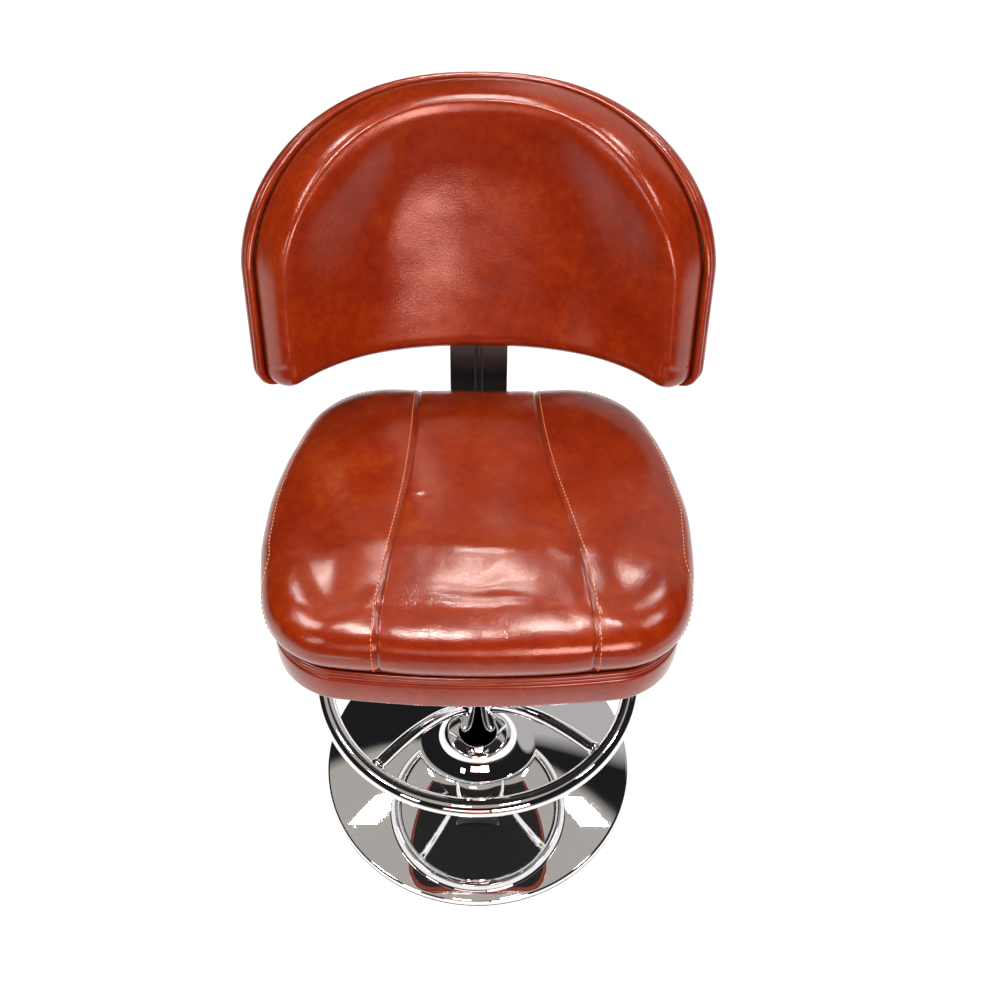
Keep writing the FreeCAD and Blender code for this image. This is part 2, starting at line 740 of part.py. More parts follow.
def seat_outline():
    """Plan of the seat at its widest: four bowed sides with rounded corners, on the floor plane."""
    corners = [V(SEAT_FRONT_CORNER_X, -SEAT_FRONT_CORNER_Y, 0),
               V(SEAT_REAR_CORNER_X, SEAT_REAR_CORNER_Y, 0),
               V(-SEAT_REAR_CORNER_X, SEAT_REAR_CORNER_Y, 0),
               V(-SEAT_FRONT_CORNER_X, -SEAT_FRONT_CORNER_Y, 0)]
    bows = [V(0, -SEAT_FRONT, 0), V(SEAT_HALF_WIDTH, SEAT_WIDEST_Y, 0),
            V(0, SEAT_REAR, 0), V(-SEAT_HALF_WIDTH, SEAT_WIDEST_Y, 0)]
    radii = (SEAT_FRONT_CORNER_RADIUS, SEAT_REAR_CORNER_RADIUS,
             SEAT_REAR_CORNER_RADIUS, SEAT_FRONT_CORNER_RADIUS)
    sides = [arc(corners[k - 1], bows[k], corners[k]).Curve for k in range(4)]
    rounds = [rounded_corner(sides[k], sides[(k + 1) % 4], radii[k], corners[k]) for k in range(4)]
    edges = []
    for k in range(4):
        edges.append(arc(rounds[k - 1][2], bows[k], rounds[k][0]))
        edges.append(arc(*rounds[k]))
    return Part.Wire(edges)


OUTLINE = seat_outline()


def seat_wire(scale, height):
    """The seat's plan, drawn in by a factor and raised to a height."""
    wire = OUTLINE.copy()
    wire.scale(scale, V(0, 0, 0))
    wire.translate(V(0, 0, height))
    return wire


def shrunk_wire(scale, inset, height):
    """The drawn-in plan, then a steady distance further in."""
    wire = seat_wire(scale, 0).makeOffset2D(-inset)
    wire.translate(V(0, 0, height))
    return Part.Wire(wire.Edges)


def seat_prism(scale, inset, low, high):
    return Part.Face(shrunk_wire(scale, inset, low)).extrude(V(0, 0, high - low))


def tuck():
    return BAND_SCALE - BAND_TUCK


def board_inset():
    return BAND_WALL + ASSEMBLY_GAP


def bar_bolt_places():
    return [(x, BAR_FOOT_START + y) for x, y in BAR_FOOT_BOLTS]


def seat_board():
    shape = seat_prism(tuck(), board_inset(), SEAT_UNDERSIDE, board_top)
    for x, y in plate_bolt_places() + bar_bolt_places():
        shape = shape.cut(tee_nut_hole(x, y, SEAT_UNDERSIDE, board_top))
    return shape


def seat_band():
    """The covered frame round the board, slightly drawn in at its top and bottom edges."""
    sections = [seat_wire(tuck(), SEAT_UNDERSIDE), seat_wire(BAND_SCALE, SEAT_UNDERSIDE + BAND_EDGE),
                seat_wire(BAND_SCALE, band_top - BAND_EDGE), seat_wire(tuck(), band_top)]
    outer = Part.makeLoft(sections, True, True)
    return outer.cut(seat_prism(tuck(), BAND_WALL, SEAT_UNDERSIDE - OVERCUT, band_top + OVERCUT))


def seat_welt():
    """Two piping cords, one on the other, in the groove between the band and the cushion."""
    inset = WELT_RADIUS - WELT_PROUD
    return Part.makeCompound([pipe(shrunk_wire(tuck(), inset, height), WELT_RADIUS)
                              for height in (lower_welt, upper_welt)])


def cushion_sections():
    """Height and plan scale of each section: drawn in below, widest, then a full crown."""
    rise = CUSHION_HEIGHT - CUSHION_WIDEST
    sections = []
    for k in range(CUSHION_LOWER_SECTIONS):
        share = k / CUSHION_LOWER_SECTIONS
        sections.append((CUSHION_WIDEST * share, 1 - CUSHION_DRAWN_IN * (1 - share) ** 2))
    for angle in CUSHION_CROWN_ANGLES:
        power = 2 / CUSHION_FULLNESS
        sections.append((CUSHION_WIDEST + rise * sine(angle) ** power, cosine(angle) ** power))
    return sections


def cushion_body(inset):
    """The crowned cushion, shrunk by a steady distance at its sides and top."""
    wires = [seat_wire(scale * (1 - inset / SEAT_HALF_WIDTH),
                       cushion_base + height * (1 - inset / CUSHION_HEIGHT))
             for height, scale in cushion_sections()]
    return Part.makeLoft(wires, True, False, False, LOFT_DEGREE)


def channel_slabs():
    """Two upright slabs along the seams, closer together at the rear."""
    slabs = []
    half = CHANNEL_WIDTH / 2
    front_y = -2 * SEAT_FRONT
    rear_y = 2 * SEAT_REAR
    slope = (CHANNEL_FRONT_X - CHANNEL_REAR_X) / (SEAT_FRONT + SEAT_REAR)
    front_x = CHANNEL_FRONT_X + slope * SEAT_FRONT
    rear_x = CHANNEL_REAR_X - slope * SEAT_REAR
    top = cushion_base + 2 * CUSHION_HEIGHT
    for side in (-1, 1):
        ends = ((side * front_x - half, front_y), (side * front_x + half, front_y),
                (side * rear_x + half, rear_y), (side * rear_x - half, rear_y))
        corners = [V(x, y, cushion_base - OVERCUT) for x, y in ends]
        face = Part.Face(Part.makePolygon(corners + corners[:1]))
        slabs.append(face.extrude(V(0, 0, top - cushion_base)))
    return slabs


def seat_foam():
    """The cushion's core, with the part that stands inside the band on the board."""
    low = board_top + ASSEMBLY_GAP
    plug = seat_prism(tuck(), board_inset(), low, cushion_base + COVER_THICKNESS)
    return cushion_body(COVER_THICKNESS + LINING_GAP).fuse(plug).removeSplitter()


def seat_cover():
    """The sewn cover with its wadding, open below, with a channel along each seam."""
    shape = cushion_body(0).cut(cushion_body(COVER_THICKNESS))
    core = cushion_body(CHANNEL_DEPTH)
    for slab in channel_slabs():
        shape = shape.cut(slab.cut(core))
    return shape


def dust_cover():
    high = SEAT_UNDERSIDE - RUNNING_FIT
    low = high - DUST_COVER_THICKNESS
    shape = seat_prism(tuck(), DUST_COVER_INSET, low, high)
    half = PLATE_SIZE / 2 + ASSEMBLY_GAP
    shape = shape.cut(block(-half, half, -half, half, low - OVERCUT, high + OVERCUT))
    side = BAR_WIDTH / 2 + ASSEMBLY_GAP
    foot = BAR_FOOT_START - ASSEMBLY_GAP
    return shape.cut(block(-side, side, foot, 2 * SEAT_REAR, low - OVERCUT, high + OVERCUT))


# Back


def reclined(shape):
    """Moves a shape from the back's own frame to the stool's."""
    placed = shape.copy()
    placed.rotate(V(0, 0, 0), V(1, 0, 0), -BACK_RECLINE)
    placed.translate(V(0, BACK_ORIGIN_Y, back_origin_z))
    return placed


def wrapped(radius, angle, height):
    """A point at a radius and angle round the wrap axis."""
    return V(radius * sine(angle), radius * cosine(angle) - BACK_WRAP_RADIUS, height)


def end_angle(inset):
    return BACK_HALF_ANGLE - math.degrees(inset / BACK_WRAP_RADIUS)


def top_edge(share, inset):
    """Height of the arched top, at a share from the middle to the end."""
    fall = max(0, 1 - abs(share) ** BACK_ARCH_SIDE_POWER)
    return BACK_SHOULDER + (BACK_TOP - inset - BACK_SHOULDER) * fall ** (1 / BACK_ARCH_TOP_POWER)


def bottom_edge(share, inset):
    """Height of the lower edge, which falls towards its rounded corners."""
    half = math.radians(end_angle(inset)) * BACK_WRAP_RADIUS
    into_corner = max(0, abs(share) * half - (half - BACK_CORNER_RADIUS)) / BACK_CORNER_RADIUS
    rise = BACK_CORNER_RADIUS * (1 - math.sqrt(max(0, 1 - into_corner * into_corner)))
    return BACK_BOTTOM + inset - BACK_CORNER_DROP * share ** END_SPREAD_POWER + rise


def section_shares(steps=BACK_SECTIONS):
    """Shares from one end to the other, closer together near the ends."""
    return [sine(90.0 * k / steps) for k in range(-steps, steps + 1)]


def end_taper(share, thinning):
    """Factor that thins a piece just before its two ends."""
    return 1 - thinning * share ** END_TAPER_POWER


def back_slab(front, rear, inset):
    """A wrapped panel of one thickness between two radii."""
    sections = []
    for share in section_shares():
        angle = end_angle(inset) * share
        top = top_edge(share, inset)
        low = bottom_edge(share, inset)
        places = ((front, low), (front, top), (rear, top), (rear, low))
        corners = [wrapped(radius, angle, height) for radius, height in places]
        sections.append(Part.makePolygon(corners + corners[:1]))
    return Part.makeLoft(sections, True, False)


def back_pad(front, thickness, edge):
    """A wrapped panel with a flat front, its rear edges rounded and its ends thinned."""
    sections = []
    for share in section_shares():
        angle = end_angle(0) * share
        top = top_edge(share, 0)
        low = bottom_edge(share, 0)
        rear = front + thickness * end_taper(share, REAR_PANEL_END_THINNING)
        front_low = wrapped(front, angle, low)
        front_top = wrapped(front, angle, top)
        rear_low = wrapped(rear, angle, low + edge)
        rear_top = wrapped(rear, angle, top - edge)
        edges = [line(front_low, front_top),
                 bowed(front_top, rear_top, wrapped(rear, angle, top), REAR_PANEL_BULGE),
                 line(rear_top, rear_low),
                 bowed(rear_low, front_low, wrapped(rear, angle, low), REAR_PANEL_BULGE)]
        sections.append(Part.Wire(edges))
    return Part.makeLoft(sections, True, False)


def back_cushion(inset, rear):
    """The front cushion: a rolled border along the top and sides round a dished middle."""
    sections = []
    for share in section_shares():
        angle = end_angle(inset) * share
        top = top_edge(share, inset)
        low = bottom_edge(share, inset)
        taper = end_taper(share, CUSHION_END_THINNING)
        spread = share ** END_SPREAD_POWER
        dish_depth = DISH_THICKNESS + (ROLL_THICKNESS - DISH_THICKNESS) * spread
        foot_depth = BACK_FOOT_THICKNESS + (ROLL_THICKNESS - BACK_FOOT_THICKNESS) * spread
        roll = BACK_WRAP_RADIUS - (ROLL_THICKNESS - inset) * taper
        dish = BACK_WRAP_RADIUS - (dish_depth - inset) * taper
        foot = BACK_WRAP_RADIUS - (foot_depth - inset) * taper
        narrow = 1 - ROLL_END_NARROWING * spread
        rear_low = wrapped(rear, angle, low)
        rear_top = wrapped(rear, angle, top)
        crest = wrapped(roll, angle, top - ROLL_WIDTH / 2 * narrow)
        roll_foot = wrapped(dish, angle, top - ROLL_FOOT_WIDTH * narrow)
        chin = wrapped(foot, angle, low + BACK_FOOT_WIDTH * narrow)
        edges = [line(rear_low, rear_top),
                 bowed(rear_top, crest, wrapped(roll, angle, top), ROLL_BACK_BULGE * taper),
                 bowed(crest, roll_foot, wrapped(0, angle, low), ROLL_BULGE),
                 line(roll_foot, chin),
                 bowed(chin, rear_low, wrapped(foot, angle, low), BACK_FOOT_BULGE * taper)]
        sections.append(Part.Wire(edges))
    return Part.makeLoft(sections, True, False)


def shell_rear():
    return BACK_WRAP_RADIUS + SHELL_THICKNESS


def panel_front():
    return shell_rear() + ASSEMBLY_GAP


def back_bolt_places():
    return [(x, z) for x in (-BACK_BOLT_X, BACK_BOLT_X) for z in BACK_BOLT_HEIGHTS]


def rearward(shape):
    """Turns a shape built upwards so that its +Z points out of the back's rear face."""
    turned_shape = shape.copy()
    turned_shape.rotate(V(0, 0, 0), V(1, 0, 0), -90)
    return turned_shape


def back_hole(radius, x, z, low, high):
    return Part.makeCylinder(radius, high - low, V(x, low, z), V(0, 1, 0))


def back_shell():
    shape = back_slab(BACK_WRAP_RADIUS, shell_rear(), shell_inset)
    reach = BACK_WRAP_RADIUS / 2
    recess = TEE_FLANGE + LINING_GAP
    for x, z in back_bolt_places():
        shape = shape.cut(back_hole(TEE_BARREL_RADIUS + ASSEMBLY_GAP, x, z, -reach, reach))
        shape = shape.cut(back_hole(TEE_FLANGE_RADIUS + ASSEMBLY_GAP, x, z, -reach, recess))
    return reclined(shape)


def back_rear_panel():
    shape = back_pad(panel_front(), REAR_PANEL_THICKNESS, REAR_PANEL_EDGE)
    reach = BACK_WRAP_RADIUS / 2
    for x, z in back_bolt_places():
        shape = shape.cut(back_hole(BOLT_RADIUS + ASSEMBLY_GAP, x, z, -reach, reach))
    return reclined(shape)


def back_foam():
    """The core behind the cover, its rear face on the wrap."""
    body = back_cushion(COVER_THICKNESS + LINING_GAP, BACK_WRAP_RADIUS + OVERCUT)
    reach = 2 * BACK_TOP
    wrap = cylinder(BACK_WRAP_RADIUS - ASSEMBLY_GAP, -reach, reach, 0, -BACK_WRAP_RADIUS)
    return reclined(body.common(wrap))


def back_cover():
    outer = back_cushion(0, BACK_WRAP_RADIUS - ASSEMBLY_GAP)
    inner = back_cushion(COVER_THICKNESS, BACK_WRAP_RADIUS + OVERCUT)
    return reclined(outer.cut(inner))


def back_welt_route():
    """Angle and height along the rim, from the joint below the middle round to it again."""
    inset = BACK_WELT_INSET
    end = end_angle(inset)
    foot = bottom_edge(1, inset)
    shares = section_shares(BACK_WELT_STEPS)
    joint = math.degrees(LINING_GAP / BACK_WRAP_RADIUS)
    rise = (BACK_SHOULDER - foot) / BACK_WELT_SIDE_STEPS
    sides = [foot + rise * k for k in range(1, BACK_WELT_SIDE_STEPS)]
    lower = [(end * share, bottom_edge(share, inset)) for share in shares]
    upper = [(end * share, top_edge(share, inset)) for share in shares]
    middle = lower[BACK_WELT_STEPS][1]
    right = [(joint, middle)] + lower[BACK_WELT_STEPS + 1:] + [(end, height) for height in sides]
    left = [(-end, height) for height in reversed(sides)] + lower[:BACK_WELT_STEPS] + [(-joint, middle)]
    return right + upper[::-1] + left


def back_welt():
    """One piping cord round the rim, in the groove that the shell's inset leaves."""
    radius = BACK_WRAP_RADIUS + SHELL_THICKNESS / 2
    route = back_welt_route()
    places = [wrapped(radius, angle, height) for angle, height in route]
    before = places[:1] + places[:-1]
    after = places[1:] + places[-1:]
    rings = []
    for (angle, height), place, last, following in zip(route, places, before, after):
        along = (following - last).normalize()
        outward = V(sine(angle), cosine(angle), 0)
        outward = (outward - along * outward.dot(along)).normalize()
        circle = Part.makeCircle(back_welt_radius)
        attitude = FreeCAD.Rotation(outward, along.cross(outward), along, "ZXY")
        circle.Placement = FreeCAD.Placement(place, attitude)
        rings.append(Part.Wire(circle))
    return reclined(Part.makeLoft(rings, True, True))


def back_bolts():
    length = BAR_THICKNESS + bar_front - TEE_FLANGE
    bolts = []
    for x, z in back_bolt_places():
        placed = rearward(bolt(0, 0, bar_front + BAR_THICKNESS, length, up=False))
        placed.translate(V(x, 0, z))
        bolts.append(reclined(placed))
    return Part.makeCompound(bolts)


def back_tee_nuts():
    nuts = []
    for x, z in back_bolt_places():
        nut = tee_nut(0, 0, 0)
        nut.rotate(V(0, 0, 0), V(1, 0, 0), 90)
        nut.translate(V(x, 0, z))
        nuts.append(reclined(nut))
    return Part.makeCompound(nuts)


# Back bar


def bar_path():
    """Middle line of the bar in the YZ plane: a level foot, a bend, and a leg along the back."""
    foot_z = SEAT_UNDERSIDE - BAR_THICKNESS / 2
    middle = bar_front + BAR_THICKNESS / 2
    lean = V(0, sine(BACK_RECLINE), cosine(BACK_RECLINE))
    out = V(0, cosine(BACK_RECLINE), -sine(BACK_RECLINE))
    origin = V(0, BACK_ORIGIN_Y, back_origin_z) + out * middle
    head = origin + lean * BAR_HEAD_HEIGHT
    corner = origin - lean * ((origin.z - foot_z) / lean.z)
    turn = 90 - BACK_RECLINE
    setback = BAR_BEND_RADIUS * math.tan(math.radians(turn / 2))
    before = corner - V(0, setback, 0)
    after = corner + lean * setback
    centre = before + V(0, 0, BAR_BEND_RADIUS)
    between = centre + V(0, sine(turn / 2), -cosine(turn / 2)) * BAR_BEND_RADIUS
    return V(0, BAR_FOOT_START, foot_z), before, between, after, head


def back_bar():
    start, before, between, after, head = bar_path()
    path = Part.Wire([line(start, before), arc(before, between, after), line(after, head)])
    half = BAR_WIDTH / 2
    thick = BAR_THICKNESS / 2
    places = ((-half, -thick), (half, -thick), (half, thick), (-half, thick))
    corners = [start + V(x, 0, z) for x, z in places]
    shape = path.makePipeShell([Part.makePolygon(corners + corners[:1])], True, False)
    shape = shape.fuse(bar_rib(after)).removeSplitter()
    clearance = BOLT_RADIUS + ASSEMBLY_GAP
    foot_base = SEAT_UNDERSIDE - BAR_THICKNESS
    for x, y in bar_bolt_places():
        shape = shape.cut(cylinder(clearance, foot_base - OVERCUT, SEAT_UNDERSIDE + OVERCUT, x, y))
    bar_rear = bar_front + BAR_THICKNESS
    for x, z in back_bolt_places():
        shape = shape.cut(reclined(back_hole(clearance, x, z, bar_front - OVERCUT, bar_rear + OVERCUT)))
    return shape


def bar_rib(bend_end):
    """The pressed rib on the front of the leg, between the bend and the foot of the back."""
    rise = back_origin_z - bend_end.z
    low = -rise / cosine(BACK_RECLINE) + BAR_RIB_END_GAP
    high = BACK_BOTTOM - BAR_RIB_END_GAP
    depth = BAR_RIB_RADIUS - BAR_RIB_HEIGHT
    rod = Part.makeCylinder(BAR_RIB_RADIUS, high - low, V(0, bar_front + depth, low), V(0, 0, 1))
    for end in (low, high):
        rod = rod.fuse(Part.makeSphere(BAR_RIB_RADIUS, V(0, bar_front + depth, end)))
    front = block(-BAR_RIB_RADIUS, BAR_RIB_RADIUS, bar_front - BAR_RIB_HEIGHT,
                  bar_front + BAR_THICKNESS / 2, low - BAR_RIB_RADIUS, high + BAR_RIB_RADIUS)
    return reclined(rod.removeSplitter().common(front))


def bar_bolts():
    seat = SEAT_UNDERSIDE - BAR_THICKNESS
    length = BAR_THICKNESS + BOARD_THICKNESS - TEE_FLANGE
    return Part.makeCompound([bolt(x, y, seat, length) for x, y in bar_bolt_places()])


def bar_tee_nuts():
    return Part.makeCompound([tee_nut(x, y, board_top - LINING_GAP) for x, y in bar_bolt_places()])


PIECES = {
    "base_dome": base_dome, "floor_ring": floor_ring, "base_weight": base_weight, "base_hub": base_hub,
    "hub_bolts": hub_bolts, "foot_collar": foot_collar,
    "column_tube": column_tube, "column_plug": column_plug, "guide_bush": guide_bush,
    "foot_ring": foot_ring, "bearing_balls": bearing_balls, "bearing_cage": bearing_cage,
    "piston_rod": piston_rod, "rod_clip": rod_clip, "rod_bumper": rod_bumper, "piston": piston,
    "lift_tube": lift_tube, "rod_seal": rod_seal, "valve_pin": valve_pin,
    "taper_socket": taper_socket, "mechanism_box": mechanism_box, "seat_plate": seat_plate,
    "plate_bolts": plate_bolts, "plate_tee_nuts": plate_tee_nuts, "lever_bracket": lever_bracket,
    "lever_pin": lever_pin, "height_lever": height_lever, "lever_paddle": lever_paddle,
    "seat_board": seat_board, "seat_band": seat_band, "seat_welt": seat_welt, "seat_foam": seat_foam,
    "seat_cover": seat_cover, "dust_cover": dust_cover,
    "back_bar": back_bar, "bar_bolts": bar_bolts, "bar_tee_nuts": bar_tee_nuts, "back_shell": back_shell,
    "back_foam": back_foam, "back_cover": back_cover, "back_welt": back_welt,
    "back_rear_panel": back_rear_panel, "back_bolts": back_bolts, "back_tee_nuts": back_tee_nuts,
}

os.makedirs("parts", exist_ok=True)
shapes = {name: make() for name, make in PIECES.items()}
shapes["bearing_lower_race"] = bearing_race(plug_top)
shapes["bearing_upper_race"] = bearing_race(upper_race)
for index, arm_name in enumerate(ARM_NAMES):
    shapes["foot_arm_" + arm_name] = foot_arm(index)
for name, shape in shapes.items():
    print(name, len(shape.Solids), round(shape.Volume), shape.isValid())
    shape.exportStep("parts/" + name + ".step")
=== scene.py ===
# %% [markdown]
# # A casino stool in leather and chrome
# The solids of the stool are already made: a trumpet base, a column with a foot ring, a gas lift
# and a seat with a wrapped back. This lesson dresses them. The chrome gets finer meshes, because a
# mirror shows every facet, and the upholstery is sewn here: cushions, piping, seams and stitches.

import cmath
import json
import math

import bmesh
import bpy
import numpy as np
from mathutils import Matrix, Vector, noise
from mathutils.bvhtree import BVHTree
from mathutils.kdtree import KDTree


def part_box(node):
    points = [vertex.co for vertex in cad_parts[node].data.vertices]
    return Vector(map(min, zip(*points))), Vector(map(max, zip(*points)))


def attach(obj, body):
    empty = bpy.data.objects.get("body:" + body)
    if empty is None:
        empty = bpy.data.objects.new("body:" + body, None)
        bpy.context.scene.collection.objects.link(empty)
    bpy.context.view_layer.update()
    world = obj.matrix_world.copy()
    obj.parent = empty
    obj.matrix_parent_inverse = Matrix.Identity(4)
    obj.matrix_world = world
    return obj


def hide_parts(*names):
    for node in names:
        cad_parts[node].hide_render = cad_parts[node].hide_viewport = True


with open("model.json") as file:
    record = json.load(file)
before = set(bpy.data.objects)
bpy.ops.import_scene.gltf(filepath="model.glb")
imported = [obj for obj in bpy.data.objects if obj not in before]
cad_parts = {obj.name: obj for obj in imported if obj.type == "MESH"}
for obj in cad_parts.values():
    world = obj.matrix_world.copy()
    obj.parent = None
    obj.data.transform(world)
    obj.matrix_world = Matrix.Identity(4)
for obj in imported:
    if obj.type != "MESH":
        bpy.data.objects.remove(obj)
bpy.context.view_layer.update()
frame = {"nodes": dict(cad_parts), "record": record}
nodes = frame["nodes"]
MM = 0.001

# %% [markdown]
# ## The camera
# The photograph looks down at the front of the stool. Its lens was found by matching the outlines
# of the base, the ring, the seat and the back, so the camera stands where the photographer stood.
# A small shift moves the frame sideways without turning the view.

# %% Camera
PHOTO_WIDTH = 1000
FOCAL_PIXELS = 1060.0
SENSOR_MM = 36.0
CAMERA_PLACE = (0.005, -0.8405, 1.4152)
CAMERA_TILT = math.radians(44.462)
CAMERA_ROLL = math.radians(0.2228)
PRINCIPAL_X = 482.2

lens = bpy.data.cameras.new("photo_camera")
lens.sensor_width = SENSOR_MM
lens.lens = SENSOR_MM * FOCAL_PIXELS / PHOTO_WIDTH
lens.shift_x = 0.5 - PRINCIPAL_X / PHOTO_WIDTH
lens.clip_end = 60.0
camera = bpy.data.objects.new("photo_camera", lens)
camera.matrix_world = (Matrix.Translation(CAMERA_PLACE) @ Matrix.Rotation(CAMERA_TILT, 4, "X")
                       @ Matrix.Rotation(CAMERA_ROLL, 4, "Z"))
bpy.context.scene.collection.objects.link(camera)
bpy.context.scene.camera = camera
bpy.context.scene.view_settings.view_transform = "Standard"
print("lens", round(lens.lens, 2), "mm")

# %% [markdown]
# ## Small tools for node trees
# Every finish below is a node tree. These helpers add a node, feed its inputs and do small sums, so
# that a recipe reads as a list of steps. An input takes a plain value or the output of another node.


# %% Node helpers
def plug(tree, socket, value):
    """Joins the output of another node to an input, or sets the input to a value."""
    if isinstance(value, bpy.types.NodeSocket):
        tree.links.new(value, socket)
    else:
        socket.default_value = value


def feed(tree, node, **values):
    """Plugs a node's inputs by name."""
    for name, value in values.items():
        plug(tree, node.inputs[name.replace("_", " ")], value)


def add_node(tree, kind, **values):
    """Adds a node. Names with a capital are its inputs, the rest are its properties."""
    node = tree.nodes.new("ShaderNode" + kind)
    for name, value in values.items():
        if not name[0].isupper():
            setattr(node, name, value)
    feed(tree, node, **{name: value for name, value in values.items() if name[0].isupper()})
    return node


def math_node(tree, operation, *values):
    node = add_node(tree, "Math", operation=operation)
    for socket, value in zip(node.inputs, values):
        plug(tree, socket, value)
    return node.outputs["Value"]


def map_range(tree, value, **limits):
    """Stretches a value between limits, which are 0 and 1 where none are given."""
    return add_node(tree, "MapRange", Value=value, **limits).outputs["Result"]


def mix_colours(tree, factor, first, second):
    node = add_node(tree, "Mix", data_type="RGBA")
    for index, value in ((0, factor), (6, first), (7, second)):
        plug(tree, node.inputs[index], value)
    return node.outputs[2]


def ramp(tree, factor, stops):
    """A colour ramp through (position, colour) stops."""
    node = add_node(tree, "ValToRGB", Fac=factor)
    while len(node.color_ramp.elements) < len(stops):
        node.color_ramp.elements.new(1.0)
    for element, (position, colour) in zip(node.color_ramp.elements, stops):
        element.position = position
        element.color = (*colour, 1.0)
    return node.outputs["Color"]


def grey(value):
    return (value, value, value)


def new_finish(name, roughness=0.5, metallic=0.0):
    """A material, its tree, its shader and the place on the piece that its textures read."""
    material = bpy.data.materials.new(name)
    material.use_nodes = True
    tree = material.node_tree
    shader = tree.nodes["Principled BSDF"]
    feed(tree, shader, Roughness=roughness, Metallic=metallic)
    return material, tree, shader, add_node(tree, "TexCoord").outputs["Object"]


# %% [markdown]
# ## Light and floor
# Chrome has no colour of its own: it shows the room. The room here is a plain one, with dark walls,
# a warm grey ceiling and one pale wall, because a mirror needs dark things to show as well as light
# ones. Ceiling panels draw the bright strokes on the leather, and three windows in front, two of them
# with a rosy light, lay a soft haze on the back. The floor is a pale sheet that glows by itself and
# reaches past the edge of the picture; in front of the stool its glow and colour fall off into painted
# shade.

# %% Room
ROOM_STRENGTH = 1.0
CEILING = (0.47, 0.44, 0.405)
WALL = (0.014, 0.013, 0.015)
GROUND = (0.05, 0.047, 0.045)
PALE_WALL = (0.52, 0.50, 0.49)
ROOM_BANDS = [(0.0, GROUND), (0.47, GROUND), (0.51, WALL), (0.886, WALL), (0.899, CEILING), (1.0, CEILING)]
PALE_EDGE = [(0.86, grey(0.0)), (0.90, grey(1.0))]
WALL_LEAN = 0.11
PALE_BEARING = Vector((0.50, 0.80, 0.34)).normalized()

world = bpy.data.worlds.new("room")
bpy.context.scene.world = world
world.use_nodes = True
room = world.node_tree
room.nodes.clear()
direction = add_node(room, "TexCoord").outputs["Generated"]
parts = add_node(room, "SeparateXYZ", Vector=direction)
lean = math_node(room, "MULTIPLY", parts.outputs["X"], WALL_LEAN)
upright = math_node(room, "SUBTRACT", parts.outputs["Z"], lean)
sky = ramp(room, math_node(room, "MULTIPLY_ADD", upright, 0.5, 0.5), ROOM_BANDS)
toward = add_node(room, "VectorMath", operation="DOT_PRODUCT")
plug(room, toward.inputs[0], direction)
plug(room, toward.inputs[1], PALE_BEARING)
pale = ramp(room, toward.outputs["Value"], PALE_EDGE)
colour = mix_colours(room, pale, sky, (*PALE_WALL, 1.0))
background = add_node(room, "Background", Color=colour, Strength=ROOM_STRENGTH)
add_node(room, "OutputWorld", Surface=background.outputs["Background"])
print("room ready")


# %% Ceiling panels and windows
def panel_light(name, place, target, size, watts, tint=(1.0, 1.0, 1.0)):
    """A rectangular lamp that faces a point."""
    data = bpy.data.lights.new(name, "AREA")
    data.shape = "RECTANGLE"
    data.size, data.size_y = size
    data.energy = watts
    data.color = tint
    lamp = bpy.data.objects.new(name, data)
    lamp.location = place
    aim = Vector(target) - Vector(place)
    lamp.rotation_euler = aim.to_track_quat("-Z", "Y").to_euler()
    bpy.context.scene.collection.objects.link(lamp)


SEAT_MIDDLE = (0.0, 0.0, 0.60)
BACK_PLACE_LIT = (0, 0.2, 0.75)
ROSE = (1.0, 0.58, 0.52)
panel_light("panel_front", (-0.25, -1.15, 2.50), SEAT_MIDDLE, (0.30, 0.12), 21)
panel_light("panel_front_right", (0.42, -0.70, 2.50), SEAT_MIDDLE, (0.26, 0.10), 15)
panel_light("panel_middle", (0.02, 0.30, 2.70), SEAT_MIDDLE, (0.16, 0.12), 11)
panel_light("panel_rear", (0.02, 1.10, 2.75), SEAT_MIDDLE, (0.22, 0.11), 10)
panel_light("panel_left", (-1.6, -0.7, 2.4), SEAT_MIDDLE, (0.50, 0.40), 18)
panel_light("panel_right", (1.8, -0.5, 2.4), SEAT_MIDDLE, (0.35, 0.35), 10)
panel_light("panel_rear_left", (-1.35, 0.70, 2.6), SEAT_MIDDLE, (0.26, 0.26), 12)
panel_light("panel_rear_right", (1.35, 0.70, 2.6), SEAT_MIDDLE, (0.26, 0.26), 12)
panel_light("window_left", (-2.0, -2.7, 1.5), BACK_PLACE_LIT, (0.6, 0.8), 14)
panel_light("window_middle", (-0.35, -3.5, 1.0), BACK_PLACE_LIT, (1.5, 1.1), 16, ROSE)
panel_light("window_right", (1.05, -3.3, 1.00), BACK_PLACE_LIT, (1.2, 1.2), 92, ROSE)

# %% Floor
FLOOR_SIDE = 5.0
FLOOR_FRONT = -1.6
FLOOR_REAR = 8.0
FLOOR_SHADE_START = -0.95
FLOOR_SHADE_END = -0.50
FLOOR_GLOW = 0.93
FLOOR_WHITE = (1.0, 0.99, 0.98, 1.0)
FLOOR_PAINTED_SHADE_TONES = [(0.0, grey(0.08)), (1.0, grey(0.24))]
floor_mesh = bpy.data.meshes.new("floor")
floor_corners = [(-FLOOR_SIDE, FLOOR_FRONT, 0), (FLOOR_SIDE, FLOOR_FRONT, 0),
                 (FLOOR_SIDE, FLOOR_REAR, 0), (-FLOOR_SIDE, FLOOR_REAR, 0)]
floor_mesh.from_pydata(floor_corners, [], [(0, 1, 2, 3)])
floor = bpy.data.objects.new("floor", floor_mesh)
bpy.context.scene.collection.objects.link(floor)
floor_paint, tree, shader, place = new_finish("floor_paint", 0.75)
# Painted shade: the floor's colour and glow fall off towards the front, and a faint cloud mottles them.
parts = add_node(tree, "SeparateXYZ", Vector=place)
floor_painted_light = map_range(tree, parts.outputs["Y"], From_Min=FLOOR_SHADE_START, From_Max=FLOOR_SHADE_END)
cloud = add_node(tree, "TexNoise", Scale=1.5).outputs["Fac"]
